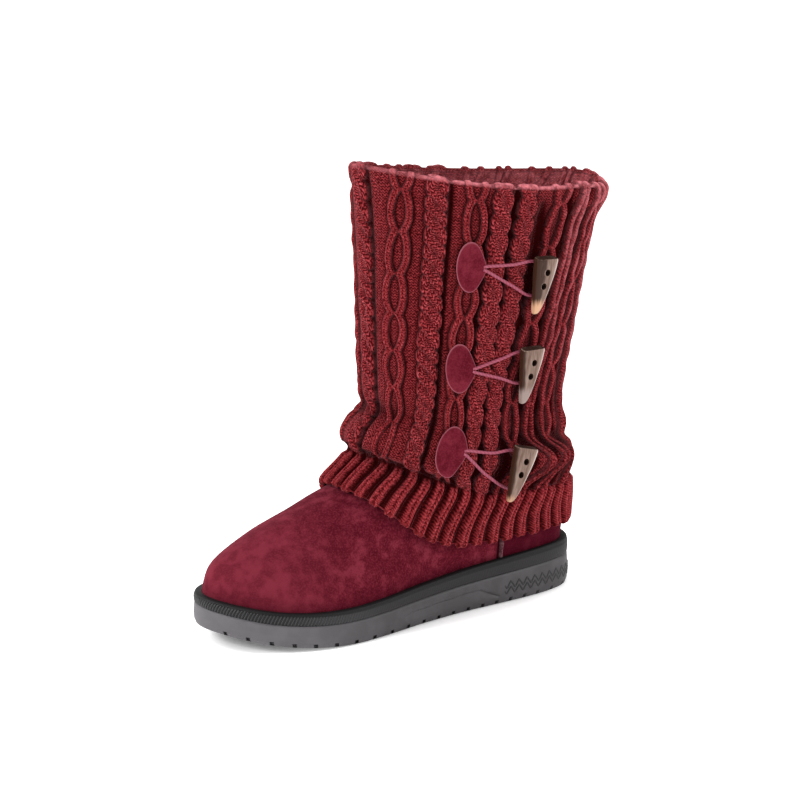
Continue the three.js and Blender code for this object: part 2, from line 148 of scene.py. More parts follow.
class Table:
    """A short table; every column is read as a smooth curve of the first one."""

    def __init__(self, names: str, rows: Sequence[Sequence[float]]) -> None:
        """Keeps the rows by column.

        Args:
            names: The columns' names, the key column first.
            rows: A row of numbers for each key.
        """
        table = np.asarray(rows, float)
        self.keys = table[:, 0]
        self.curves = {
            name: SmoothCurve(self.keys, table[:, place]) for place, name in enumerate(names.split())
        }

    def __call__(self, name: str, at: Number) -> Array:
        """The value of one column at a key."""
        return self.curves[name](at)


def closed_curve(points: Array, count: int, fine: int = 24) -> tuple[Array, float]:
    """Even points along a smooth closed curve.

    Args:
        points: Points that the curve passes through.
        count: How many even points to give.
        fine: Steps between two given points.

    Returns:
        The even points, and the curve's length.
    """
    place = np.arange(len(points) * fine + 1) / fine
    first = np.floor(place).astype(int)
    share = (place - first)[:, None]
    p0, p1, p2, p3 = (points[(first + shift) % len(points)] for shift in (-1, 0, 1, 2))
    curve = 0.5 * (
        2 * p1
        + (p2 - p0) * share
        + (2 * p0 - 5 * p1 + 4 * p2 - p3) * share**2
        + (3 * p1 - p0 - 3 * p2 + p3) * share**3
    )
    lengths = lengths_after(np.linalg.norm(np.diff(curve, axis=0), axis=1))
    targets = np.arange(count) / count * lengths[-1]
    even = np.stack([np.interp(targets, lengths, curve[:, axis]) for axis in range(3)], axis=-1)
    return even, float(lengths[-1])


@dataclass
class Draft:
    """Grids of points, in millimetres, gathered into one mesh."""

    BAKE_MAP = "OFBake"
    MARGIN = 0.004
    LEAST_RUN = 1e-9
    WELD_WITHIN = 1e-6

    name: str
    grids: list[Array] = field(default_factory=list)
    slots: list[int] = field(default_factory=list)
    values: dict[str, list[Array]] = field(default_factory=dict)

    def add(self, points: Array, wrap: bool = False, slot: int = 0, **values: Array) -> "Draft":
        """Adds a grid whose outside shows where rows climb and columns run round to their right.

        Args:
            points: Rows by columns by three.
            wrap: Whether the last column joins the first.
            slot: The material slot of its faces.
            values: Named numbers for the points, kept as attributes.

        Returns:
            The draft itself.
        """
        if wrap:
            points = np.concatenate([points, points[:, :1]], axis=1)
            values = {name: np.concatenate([at, at[:, :1]], axis=1) for name, at in values.items()}
        self.grids.append(points)
        self.slots.append(slot)
        for name, at in values.items():
            self.values.setdefault(name, []).append(np.broadcast_to(at, points.shape[:2]))
        return self

    def _maps(self) -> Array:
        """Bake coordinates: a strip for each grid, as high as its share of the mesh.

        Returns:
            Two numbers for each point.
        """
        heights = []
        for grid in self.grids:
            heights.append(lengths_after(np.linalg.norm(np.diff(grid, axis=0), axis=-1).mean(axis=1)))
        total = sum(height[-1] for height in heights)
        base, maps = 0.0, []
        for grid, height in zip(self.grids, heights):
            across = lengths_after(np.linalg.norm(np.diff(grid, axis=1), axis=-1).mean(axis=0))
            across = self.MARGIN + across / max(across[-1], self.LEAST_RUN) * (1 - 2 * self.MARGIN)
            share = height[-1] / total
            up = base + share * (self.MARGIN + height / height[-1] * (1 - 2 * self.MARGIN))
            maps.append(np.stack(np.meshgrid(across, up), axis=-1).reshape(-1, 2))
            base += share
        return np.concatenate(maps)

    def build(self, *materials: Material, weld: bool = False, sharp_deg: float | None = None) -> Object:
        """Makes the object.

        Args:
            materials: The materials of its slots.
            weld: Whether points at one place become one.
            sharp_deg: The angle past which an edge stays sharp.

        Returns:
            The new object, with smooth faces.
        """
        corners, slots, start = [], [], 0
        for grid, slot in zip(self.grids, self.slots):
            index = np.arange(grid.shape[0] * grid.shape[1]).reshape(grid.shape[:2]) + start
            quads = [index[:-1, :-1], index[1:, :-1], index[1:, 1:], index[:-1, 1:]]
            corners.append(np.stack(quads, axis=-1).reshape(-1, 4))
            slots.append(np.full(len(corners[-1]), slot))
            start += index.size
        faces = np.concatenate(corners)
        points = np.concatenate([grid.reshape(-1, 3) for grid in self.grids]) * MM
        mesh = bpy.data.meshes.new(self.name)
        mesh.from_pydata(points.tolist(), [], faces.tolist())
        mesh.polygons.foreach_set("material_index", np.concatenate(slots).astype(np.int32))
        layer = mesh.uv_layers.new(name=self.BAKE_MAP)
        layer.data.foreach_set("uv", self._maps()[faces.ravel()].astype(np.float32).ravel())
        for name, grids in self.values.items():
            numbers = np.concatenate([grid.ravel() for grid in grids])
            mesh.attributes.new(name, "FLOAT", "POINT").data.foreach_set("value", numbers.astype(np.float32))
        piece = bpy.data.objects.new(self.name, mesh)
        bpy.context.scene.collection.objects.link(piece)
        if weld:
            welded = bmesh.new()
            welded.from_mesh(mesh)
            bmesh.ops.remove_doubles(welded, verts=welded.verts, dist=self.WELD_WITHIN)
            welded.to_mesh(mesh)
            welded.free()
        mesh.validate()
        mesh.shade_smooth()
        if sharp_deg is not None:
            mesh.set_sharp_from_angle(angle=math.radians(sharp_deg))
        for material in materials:
            mesh.materials.append(material)
        return piece


@dataclass(frozen=True)
class Sock:
    """A node's output, with the arithmetic that shader expressions use."""

    shader: "Shader"
    socket: NodeSocket

    def __add__(self, other: "Value") -> "Sock":
        """Adds a value."""
        return self.shader.math("ADD", self, other)

    def __sub__(self, other: "Value") -> "Sock":
        """Takes a value away."""
        return self.shader.math("SUBTRACT", self, other)

    def __rsub__(self, other: "Value") -> "Sock":
        """Is taken away from a value."""
        return self.shader.math("SUBTRACT", other, self)

    def __mul__(self, other: "Value") -> "Sock":
        """Multiplies by a value."""
        return self.shader.math("MULTIPLY", self, other)

    def __truediv__(self, other: "Value") -> "Sock":
        """Divides by a value."""
        return self.shader.math("DIVIDE", self, other)

    __radd__ = __add__
    __rmul__ = __mul__

    def wave(self) -> "Sock":
        """The sine of the value in turns, from 0 to 1."""
        return self.shader.math("SINE", self * math.tau) * 0.5 + 0.5

    def ridge(self) -> "Sock":
        """Climbs from 0 at whole numbers to 1 half way between them."""
        return self.shader.math("PINGPONG", self, 0.5) * 2

    def eased(self, low: float, high: float) -> "Sock":
        """Rises smoothly from 0 at low to 1 at high."""
        settings = {"interpolation_type": "SMOOTHSTEP"}
        inputs = {"Value": self, "From Min": low, "From Max": high}
        return self.shader.node("ShaderNodeMapRange", settings, inputs)


Value = Sock | float | Sequence[float]


class Shader:
    """One material, written as expressions that add its nodes."""

    def __init__(self, name: str) -> None:
        """Starts a material with its Principled surface.

        Args:
            name: The material's name.
        """
        self.material = bpy.data.materials.new(name)
        self.material.use_nodes = True
        self.tree = self.material.node_tree
        self.surface = self.tree.nodes["Principled BSDF"]

    def feed(self, socket: NodeSocket, value: Value) -> None:
        """Links or sets one input; a colour of three numbers becomes opaque.

        Args:
            socket: The input.
            value: A link, a number or a row of numbers.
        """
        if isinstance(value, Sock):
            self.tree.links.new(value.socket, socket)
        elif socket.type == "RGBA" and len(value) == 3:
            socket.default_value = (*value, 1)
        else:
            socket.default_value = value

    def node(
        self,
        kind: str,
        settings: Mapping[str, object] | None = None,
        inputs: Mapping[str | int, Value] | None = None,
        output: str | int = 0,
    ) -> Sock:
        """Adds a node.

        Args:
            kind: The node's type.
            settings: Its own properties, which are set first.
            inputs: Values or links of its input sockets.
            output: The output that is wanted.

        Returns:
            That output.
        """
        made = self.tree.nodes.new(kind)
        for name, value in (settings or {}).items():
            setattr(made, name, value)
        for name, value in (inputs or {}).items():
            self.feed(made.inputs[name], value)
        return Sock(self, made.outputs[output])

    def math(self, operation: str, left: Value, right: Value = 0.0) -> Sock:
        """Adds a Math node for an operation on two values."""
        return self.node("ShaderNodeMath", {"operation": operation}, {0: left, 1: right})

    def mix(self, share: Value, start: Value, end: Value) -> Sock:
        """A colour that lies a share of the way from start to end."""
        inputs = {"Factor": share, 6: start, 7: end}
        return self.node("ShaderNodeMix", {"data_type": "RGBA"}, inputs, output=2)

    def place(self) -> Sock:
        """The point's place in the piece, in metres."""
        return self.node("ShaderNodeTexCoord", output="Object")

    def stretched(self, vector: Sock, scale: Sequence[float]) -> Sock:
        """A place with its axes scaled."""
        return self.node("ShaderNodeVectorMath", {"operation": "MULTIPLY"}, {0: vector, 1: scale})

    def part(self, vector: Sock, axis: str) -> Sock:
        """One axis of a place."""
        return self.node("ShaderNodeSeparateXYZ", inputs={0: vector}, output=axis)

    def noise(self, vector: Sock, grain_mm: float, detail: float = 2.0) -> Sock:
        """Soft noise, from about 0.3 to 0.7, with grains of that size."""
        inputs = {"Vector": vector, "Scale": 1 / (grain_mm * MM), "Detail": detail}
        return self.node("ShaderNodeTexNoise", inputs=inputs)

    def value(self, name: str) -> Sock:
        """A number kept on the mesh's points."""
        return self.node("ShaderNodeAttribute", {"attribute_name": name}, output="Fac")

    def bump(self, height: Value, depth_mm: float) -> Sock:
        """A normal for heights from 0 to 1 that stand for a depth."""
        inputs = {"Height": height, "Distance": depth_mm * MM, "Strength": 1.0}
        return self.node("ShaderNodeBump", inputs=inputs)

    def finish(self, **inputs: Value) -> Material:
        """Sets the surface's inputs.

        Args:
            inputs: Values or links, named with underscores for spaces.

        Returns:
            The finished material.
        """
        for name, value in inputs.items():
            self.feed(self.surface.inputs[name.replace("_", " ")], value)
        return self.material

    def cloth(self, colour: Sock, normal: Sock, sheen: float, tint: Colour) -> Material:
        """Finishes a matt cloth or nap.

        Args:
            colour: Its varying colour.
            normal: Its varying normal.
            sheen: The bloom at grazing angles.
            tint: The bloom's colour.

        Returns:
            The finished material.
        """
        return self.finish(
            Base_Color=colour,
            Roughness=0.95,
            Specular_IOR_Level=0.0,
            Sheen_Weight=sheen,
            Sheen_Roughness=0.35,
            Sheen_Tint=tint,
            Normal=normal,
        )


@dataclass(frozen=True)
class KnitFinish:
    """Heathered yarn with dark flecks, painted shade in its valleys, beside its strands and between its
    loops, and painted highlights.
    """

    name: str = "burgundy_knit"
    shade_and_dark_flecks: Colour = (0.025, 0.0013, 0.0016)
    yarn: Colour = (0.235, 0.0212, 0.0254)
    pale: Colour = (0.540, 0.1000, 0.1120)
    painted_highlight: Colour = (0.710, 0.2080, 0.2360)
    slack_mm: float = 2.6
    fleck_mm: float = 1.3
    cloud_mm: float = 20.0
    tuft_mm: float = 5.0
    fibre_mm: float = 0.45
    depth_mm: float = 0.7
    sheen: float = 0.16
    sheen_tint: Colour = (1.0, 0.42, 0.46)

    def material(self) -> Material:
        """Builds the material.

        Returns:
            A material that reads the relief, the stitches and the painted highlight kept on the points.
        """
        s = Shader(self.name)
        place = s.place()
        relief = s.value("relief")
        plain = s.value("plain")
        slack = s.noise(place, self.slack_mm, 3) - 0.5
        parting = 1 - (s.value("lane") + slack * 1.1).ridge()
        stitch = (s.value("lay") - parting * 0.7 + slack * 1.8).wave()
        loops = 1 - (1 - stitch) * (0.9 - plain * 0.55) - parting * parting * (plain * 0.45 + 0.15)
        flecks = s.noise(place, self.fleck_mm, 3)
        clouds = s.noise(place, self.cloud_mm, 2).eased(0.3, 0.7)
        tufts = s.noise(place, self.tuft_mm, 3).eased(0.34, 0.64)
        # Painted shade in the valleys and beside the strands, from the relief kept on the points.
        body = s.mix(relief.eased(0.06, 0.38), self.shade_and_dark_flecks, self.yarn)
        # Painted shade between the loops.
        body = s.mix((1 - loops).eased(0.15, 0.8) * 0.9, body, self.shade_and_dark_flecks)
        body = s.mix(clouds * 0.12 + flecks.eased(0.5, 0.38) * (0.5 - plain * 0.2), body, self.shade_and_dark_flecks)
        # Painted highlight on the crowns of the loops, broken up by pale flecks.
        crowns = relief.eased(0.0, 0.85) * loops.eased(0.4, 0.95)
        crowns = crowns * (1 - plain * 0.38) * (tufts * 0.7 + 0.55)
        body = s.mix(crowns * (flecks.eased(0.44, 0.66) * 0.5 + 0.1), body, self.pale)
        # Painted highlight along the rim and on the lit strands, and painted light inside the rim.
        body = s.mix(s.value("edge") * (tufts * 0.55 + flecks * 0.7), body, self.painted_highlight)
        fibres = s.noise(place, self.fibre_mm, 2)
        normal = s.bump(loops * 0.6 + fibres * 0.3 + slack * 0.8, self.depth_mm)
        return s.cloth(body, normal, self.sheen, self.sheen_tint)


@dataclass(frozen=True)
class SuedeFinish:
    """Napped suede: faint brushed patches, fine nap and a slight bloom at grazing angles."""

    name: str = "burgundy_suede"
    dark: Colour = (0.059, 0.0038, 0.0090)
    body: Colour = (0.083, 0.0066, 0.0135)
    light: Colour = (0.152, 0.0182, 0.0306)
    patch_mm: float = 18.0
    nap_mm: float = 1.1
    depth_mm: float = 0.35
    sheen: float = 0.12
    sheen_tint: Colour = (1.0, 0.45, 0.52)
    edge: Colour | None = None
    shade: Colour | None = None
    toe_light: float = 0.0
    toe_from_m: Span = (-0.04, -0.12)

    def material(self) -> Material:
        """Builds the material; colours of the edge and the shade are laid where the points say so.

        Returns:
            The suede.
        """
        s = Shader(self.name)
        place = s.place()
        brushed = s.noise(place, self.patch_mm, 5)
        mottle = s.noise(place, self.patch_mm / 3, 4)
        nap = s.noise(place, self.nap_mm, 3)
        mood = brushed * 0.5 + mottle * 0.5
        tone = s.mix(mood.eased(0.4, 0.52), self.dark, self.body)
        tone = s.mix(mood.eased(0.5, 0.62), tone, self.light)
        tone = s.mix(nap.eased(0.42, 0.7) * 0.55, tone, self.light)
        tone = s.mix((1 - nap).eased(0.45, 0.72) * 0.45, tone, self.dark)
        # Painted light: the suede is lighter towards the toe.
        if self.toe_light:
            toe = s.part(place, "Y").eased(*self.toe_from_m) * (mood.eased(0.4, 0.6) * 0.6 + 0.5)
            tone = s.mix(toe * self.toe_light, tone, self.light)
        if self.shade is not None:
            tone = s.mix(s.value("shade"), tone, self.shade)
        if self.edge is not None:
            tone = s.mix(s.value("edge"), tone, self.edge)
        normal = s.bump(nap * 0.7 + mottle * 0.3, self.depth_mm)
        return s.cloth(tone, normal, self.sheen, self.sheen_tint)


FOOT_SUEDE = SuedeFinish(
    edge=(0.010, 0.0012, 0.0022),
    shade=(0.036, 0.0018, 0.0066),
    toe_light=0.9,
)
SEAM_SUEDE = SuedeFinish(
    name="seam_suede",
    dark=(0.060, 0.018, 0.024),
    body=(0.095, 0.036, 0.043),
    light=(0.150, 0.075, 0.082),
    patch_mm=6.0,
)
PATCH_SUEDE = SuedeFinish(
    name="patch_suede",
    dark=(0.072, 0.0051, 0.0106),
    body=(0.098, 0.0083, 0.0164),
    light=(0.137, 0.0146, 0.0256),
    edge=(0.30, 0.085, 0.11),
)


@dataclass(frozen=True)
class OutsoleFinish:
    """Matt grey moulded rubber, paler in soft clouds and towards the toe, with painted shade in its notches.
    """

    name: str = "grey_rubber"
    body: Colour = (0.027, 0.024, 0.026)
    pale_grey: Colour = (0.098, 0.092, 0.100)
    notch_shade: Colour = (0.004, 0.004, 0.004)
    cloud_mm: float = 14.0
    grain_mm: float = 0.5
    depth_mm: float = 0.06
    toe_from_m: Span = (-0.02, -0.12)

    def material(self) -> Material:
        """Builds the rubber.

        Returns:
            A material that reads the dark of the notches kept on the points.
        """
        s = Shader(self.name)
        place = s.place()
        clouds = s.noise(place, self.cloud_mm, 4)
        grain = s.noise(place, self.grain_mm, 2)
        toe = s.part(place, "Y").eased(*self.toe_from_m)
        tone = s.mix(clouds.eased(0.38, 0.66) * 0.2 + toe * 0.7, self.body, self.pale_grey)
        # Painted shade in the notches of the tread.
        tone = s.mix(s.value("dark"), tone, self.notch_shade)
        return s.finish(
            Base_Color=tone,
            Roughness=clouds * 0.2 + 0.5,
            Specular_IOR_Level=0.4,
            Normal=s.bump(grain, self.depth_mm),
        )


ZIGZAG_RUBBER = OutsoleFinish(
    name="dark_rubber",
    body=(0.012, 0.011, 0.012),
    pale_grey=(0.022, 0.021, 0.022),
)


@dataclass(frozen=True)
class FoxingFinish:
    """Black rubber band with fine slanted ribs round the toe, with painted shade at its top and in its rib
    grooves.
    """

    name: str = "black_rubber"
    shade_black: Colour = (0.0040, 0.0037, 0.0040)
    ribbed: Colour = (0.015, 0.014, 0.015)
    toe: Colour = (0.042, 0.041, 0.043)
    grain_mm: float = 0.6
    depth_mm: float = 1.3
    toe_from_m: Span = (-0.02, -0.11)

    def material(self) -> Material:
        """Builds the band's rubber.

        Returns:
            A material that reads the ribs, their strength and the rise kept on the points.
        """
        s = Shader(self.name)
        place = s.place()
        rise = s.value("rise")
        strength = s.value("ribbing")
        ribs = s.value("rib").wave()
        grain = s.noise(place, self.grain_mm, 2)
        # Painted shade: black at the band's top, where it meets the suede, and in the grooves between the
        # ribs.
        lower = 1 - (rise - strength * 0.14).eased(0.6, 0.72)
        body = s.mix(s.part(place, "Y").eased(*self.toe_from_m), self.ribbed, self.toe)
        tone = s.mix(lower, self.shade_black, body)
        tone = s.mix(ribs * strength * lower * 0.85, tone, self.shade_black)
        return s.finish(
            Base_Color=tone,
            Roughness=0.62 - strength * 0.08,
            Specular_IOR_Level=0.18,
            Normal=s.bump(ribs * strength * lower + grain * 0.1, self.depth_mm),
        )


@dataclass(frozen=True)
class FleeceFinish:
    """Short brushed pile of the lining."""

    name: str = "lining_fleece"
    shade: Colour = (0.120, 0.060, 0.060)
    pile: Colour = (0.230, 0.130, 0.125)
    tuft_mm: float = 2.2
    depth_mm: float = 1.2

    def material(self) -> Material:
        """Builds the pile.

        Returns:
            The fleece.
        """
        s = Shader(self.name)
        tufts = s.noise(s.place(), self.tuft_mm, 4)
        tone = s.mix(tufts.eased(0.35, 0.65), self.shade, self.pile)
        return s.finish(
            Base_Color=tone,
            Roughness=1.0,
            Sheen_Weight=0.5,
            Specular_IOR_Level=0.1,
            Normal=s.bump(tufts, self.depth_mm),
        )


@dataclass(frozen=True)
class CordFinish:
    """Waxed braided cord."""

    name: str = "braided_cord"
    body: Colour = (0.215, 0.030, 0.058)
    light: Colour = (0.330, 0.080, 0.120)
    depth_mm: float = 0.08

    def material(self) -> Material:
        """Builds the braid from the lay kept on the points.

        Returns:
            The cord's material.
        """
        s = Shader(self.name)
        braid = s.value("braid").wave()
        tone = s.mix(braid * 0.6, self.body, self.light)
        return s.finish(
            Base_Color=tone,
            Roughness=0.6,
            Specular_IOR_Level=0.35,
            Normal=s.bump(braid, self.depth_mm),
        )


@dataclass(frozen=True)
class HornFinish:
    """Polished horn: a taupe face, a smoky front side, a tip of another colour and a painted highlight along
    the edge towards the heel.
    """

    name: str
    tip: Colour
    tip_from: float
    smoke_to: float
    smoke: Colour = (0.034, 0.014, 0.008)
    body: Colour = (0.118, 0.068, 0.051)
    pale: Colour = (0.235, 0.160, 0.130)
    # The colour of the painted highlight along the edge towards the heel.
    rim: Colour = (0.540, 0.440, 0.400)
    streak_mm: float = 1.8
    streak_pull: Triple = (1, 0.14, 1)
    cloud_mm: float = 7.0
    cloud_pull: Triple = (1, 0.4, 1)
    depth_mm: float = 0.08

    def material(self) -> Material:
        """Builds the horn; X runs across the toggle, Y down it, and its sides are kept on the points.

        Returns:
            The horn.
        """
        s = Shader(self.name)
        place = s.place()
        down = s.part(place, "Y") / MM
        side = s.value("side")
        streaks = s.noise(s.stretched(place, self.streak_pull), self.streak_mm, 3)
        clouds = s.noise(s.stretched(place, self.cloud_pull), self.cloud_mm, 2)
        tone = s.mix(streaks.eased(0.32, 0.7), self.body, self.pale)
        tone = s.mix(clouds.eased(0.5, 0.72) * 0.6, tone, self.body)
        shade = (self.smoke_to - side + (clouds - 0.5) * 0.7).eased(-0.12, 0.2)
        tone = s.mix(shade, tone, self.smoke)
        tip = (down + (streaks - 0.5) * 8).eased(self.tip_from, self.tip_from + 6)
        tone = s.mix(tip, tone, self.tip)
        # Painted highlight along the edge towards the heel.
        tone = s.mix(side.eased(0.72, 0.9) * 0.7, tone, self.rim)
        return s.finish(
            Base_Color=tone,
            Roughness=streaks * 0.15 + 0.22,
            Specular_IOR_Level=0.1,
            Coat_Weight=0.06,
            Coat_Roughness=0.15,
            Normal=s.bump(streaks, self.depth_mm),
        )


@dataclass(frozen=True)
class HornEndFinish:
    """The sawn, dark end of a toggle."""

    name: str = "horn_end"
    dark: Colour = (0.022, 0.010, 0.007)
    ring: Colour = (0.052, 0.029, 0.022)
    grain_mm: float = 1.6
    depth_mm: float = 0.15

    def material(self) -> Material:
        """Builds the end grain.

        Returns:
            The material of the sawn end and of the holes.
        """
        s = Shader(self.name)
        grain = s.noise(s.place(), self.grain_mm, 3)
        return s.finish(
            Base_Color=s.mix(grain.eased(0.4, 0.7), self.dark, self.ring),
            Roughness=0.8,
            Specular_IOR_Level=0.05,
            Normal=s.bump(grain, self.depth_mm),
        )


def seat(piece: Object, slot: str, *nodes: str) -> None:
    """Puts a finished piece on the boot's one body and logs it.

    Args:
        piece: The piece, in its place.
        slot: The record's material slot; not used.
        nodes: The solids that it stands for.
    """
    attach(piece, "root")
    if nodes:
        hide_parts(*nodes)
    LOG.info("%s: %d faces", piece.name, len(piece.data.polygons))


@dataclass
class SoleForm:
    """The plan of the sole, from heel to toe."""

    LEAST_CHORD = 1e-9

    length: float = 272.0
    heel_radius: float = 33.0
    toe_radius: float = 30.0
    toe_spring: float = 10.0
    spring_start: float = 0.68
    plan: Table = Table(
        "along half centre thick band",
        [
            (0.00, 0.0, 0.0, 20.5, 11.0),
            (0.10, 31.0, 0.0, 20.5, 11.0),
            (0.22, 34.8, 0.3, 19.8, 10.5),
            (0.36, 35.0, 1.8, 18.4, 9.8),
            (0.50, 37.8, 3.4, 16.8, 9.0),
            (0.62, 43.8, 3.6, 15.6, 8.4),
            (0.74, 48.8, 1.8, 15.0, 8.0),
            (0.84, 46.6, -0.6, 14.4, 7.4),
            (0.93, 35.5, -3.6, 13.9, 6.8),
            (1.00, 0.0, -7.0, 13.5, 6.2),
        ],
    )

    def __post_init__(self) -> None:
        """Works out the half-width over the sine of the angle, which stays smooth at both ends."""
        along = self.plan.keys
        chord = 2 * np.sqrt(along * (1 - along))
        full = self.plan.curves["half"].values / np.maximum(chord, self.LEAST_CHORD)
        full[[0, -1]] = np.sqrt(np.array([self.heel_radius, self.toe_radius]) * self.length / 2)
        self.fullness = SmoothCurve(along, full)
        self.ball_half = float(self.plan.curves["half"].values.max())

    def along(self, y: Number) -> Array:
        """The share of the length from heel to toe."""
        return np.clip(0.5 - y / self.length, 0, 1)

    def spring(self, along: Number) -> Array:
        """The tread's height over the floor."""
        reach = np.maximum(0, along - self.spring_start) / (1 - self.spring_start)
        return self.toe_spring * reach**2

    def top(self, along: Number) -> Array:
        """The height of the outsole's top."""
        return self.spring(along) + self.plan("thick", along)

    def edge(self, angle: Number, inset: Number) -> tuple[Array, Array, Array]:
        """A point of the edge, moved inward.

        Args:
            angle: From the heel over the outer side to the toe.
            inset: How far inward.

        Returns:
            Its X, its Y, and its share of the length.
        """
        along = toe_share(angle)
        x = self.plan("centre", along) + (self.fullness(along) - inset) * np.sin(angle)
        y = (self.length / 2 - inset) * np.cos(angle)
        return x, y, along


@dataclass
class Outsole:
    """The grey moulded sole with its grooved tread, side recesses and zigzag at the heel."""

    NOTCH_ROWS = slice(3, 5)

    form: SoleForm
    grooves: tuple[float, ...] = (
        *(19.5, 32.0, 45.0, 58.5, 70.0, 82.0, 93.5, 105.0, 117.0, 129.5, 142.0),
        *(155.0, 169.0, 183.5, 198.5, 213.0, 227.5, 241.5, 255.0, 269.0, 284.0, 299.5),
    )
    groove_width: float = 2.7
    groove_depth: float = 2.4
    groove_wall: float = 0.06
    notch: Span = (0.6, 3.1)
    notch_depth: float = 2.2
    notch_step: float = 0.06
    tread_insets: Triple = (3.2, 3.1, 1.4)
    notch_inset: float = 1.3
    edge_inset: float = 0.4
    bulge: tuple[Span, ...] = ((0.12, 0.4), (0.55, 0.0), (0.94, 0.45), (1.0, 1.2))
    recess_ends: Triple = (-18.0, 46.0, 62.0)
    recess_floor: float = 4.6
    recess_tops: Triple = (10.4, 13.4, 6.2)
    recess_depth: float = 1.2
    recess_edge: float = 0.8
    edge_points: int = 330
    run_points: int = 2000
    wall_rows: int = 30
    tread_columns: int = 7
    top_inset: float = 7.0
    sharp_deg: float = 38.0
    zigzag_reach: Span = (66.0, 130.0)
    zigzag_points: int = 1200
    zigzag_pitch: float = 7.0
    zigzag_levels: tuple[float, ...] = (8.4, 12.0)
    zigzag_swing: float = 2.1
    zigzag_sharpness: float = 0.97
    zigzag_width: float = 1.2
    zigzag_height: float = 0.55
    zigzag_end: float = 1.2
    zigzag_profile: tuple[Span, ...] = (
        *((-1.0, -0.3), (-0.72, 0.7), (-0.35, 1.0)),
        *((0.35, 1.0), (0.72, 0.7), (1.0, -0.3)),
    )

    def _angles(self) -> Array:
        """Angles from heel to toe, with pairs of points at the walls of the grooves.

        Returns:
            Rising angles over the outer side.
        """
        angle, run = self._runs()
        sides = np.array([-1, 1])[:, None] * self.groove_width / 2
        walls = (np.array(self.grooves) + sides)[..., None] + np.array([-1, 1]) * self.groove_wall
        even = np.linspace(0, math.pi, self.edge_points)
        return np.unique(np.round(np.concatenate([np.interp(walls.ravel(), run, angle), even]), 5))

    def _runs(self) -> tuple[Array, Array]:
        """Angles over the outer side and the lengths of the edge from the heel to them.

        Returns:
            The angles, and the lengths.
        """
        angle = np.linspace(0, math.pi, self.run_points)
        x, y, _ = self.form.edge(angle, self.edge_inset)
        return angle, lengths_after(np.hypot(np.diff(x), np.diff(y)))

    def _in_groove(self, angle: Array) -> Array:
        """Whether each place round the whole edge lies in a groove of the tread."""
        run = np.interp(np.minimum(angle, math.tau - angle), *self._runs())
        return np.abs(run[:, None] - np.array(self.grooves)).min(axis=1) < self.groove_width / 2

    def _recess(self, y: Array, z: Array) -> Array:
        """How far the side is sunk at a place on it.

        Args:
            y: The place along the sole.
            z: Its height over the tread.

        Returns:
            The depth of the recess.
        """
        top = np.interp(y, self.recess_ends, self.recess_tops)
        ends = np.minimum(y - self.recess_ends[0], self.recess_ends[2] - y)
        inside = smoothstep(np.minimum(top - z, ends), 0, self.recess_edge)
        fade = smoothstep(z, self.recess_floor, np.maximum(top, self.recess_floor + 1))
        return self.recess_depth * inside * fade

    def _bulged(self, share: Array) -> Array:
        """The inset of the bulging side at a share of its height."""
        return np.interp(share, *np.array(self.bulge).T)

    def _wall(self, angle: Array) -> Array:
        """The side from the tread's edge to the top, groove ends included.

        Args:
            angle: Places round the whole edge.

        Returns:
            Rows by places by three.
        """
        groove = self._in_groove(angle)
        low, high = self.notch
        step = self.notch_step
        sunk = np.where(groove, self.notch_depth, 0)
        flat = np.ones_like(angle)
        insets = [inset * flat for inset in self.tread_insets]
        insets += [self.notch_inset + sunk, self.edge_inset + sunk, self.edge_inset * flat]
        rises = [np.where(groove, self.groove_depth, 0.0)]
        rises += [rise * flat for rise in (0.0, low, low + step, high, high + step)]
        thick = self.form.plan("thick", toe_share(angle))
        foot = high + 2 * step
        for share in np.linspace(0, 1, self.wall_rows):
            rise = foot + share * (thick - foot)
            insets.append(self._bulged(rise / thick))
            rises.append(rise)
        insets.append(np.full_like(angle, self.top_inset))
        rises.append(thick)
        inset, rise = np.stack(insets), np.stack(rises)
        _, y, _ = self.form.edge(angle[None], inset)
        x, y, along = self.form.edge(angle[None], inset + self._recess(y, rise))
        return np.stack([x, y, self.form.spring(along) + rise], axis=-1)

    def build(self) -> None:
        """Makes the sole and its zigzags."""
        half = self._angles()
        angle = np.concatenate([half, math.tau - half[-2:0:-1]])
        wall = self._wall(angle)
        # Painted shade: the notches of the tread are marked dark.
        dark = np.zeros(wall.shape[:2])
        dark[self.NOTCH_ROWS] = self._in_groove(angle)
        draft = Draft("outsole_body").add(wall, wrap=True, dark=dark)
        outer = wall[0, : len(half)]
        inner = wall[0, (-np.arange(len(half))) % len(angle)]
        across = np.linspace(0, 1, self.tread_columns)[None, :, None]
        tread = between(inner[:, None], outer[:, None], across)
        draft.add(tread, dark=np.zeros(tread.shape[:2]))
        body = draft.build(OutsoleFinish().material(), weld=True, sharp_deg=self.sharp_deg)
        seat(body, "grey_rubber", "outsole")
        rubber = ZIGZAG_RUBBER.material()
        for side, name in ((1, "outer"), (-1, "inner")):
            seat(self._zigzag(side, name).build(rubber), "grey_rubber")

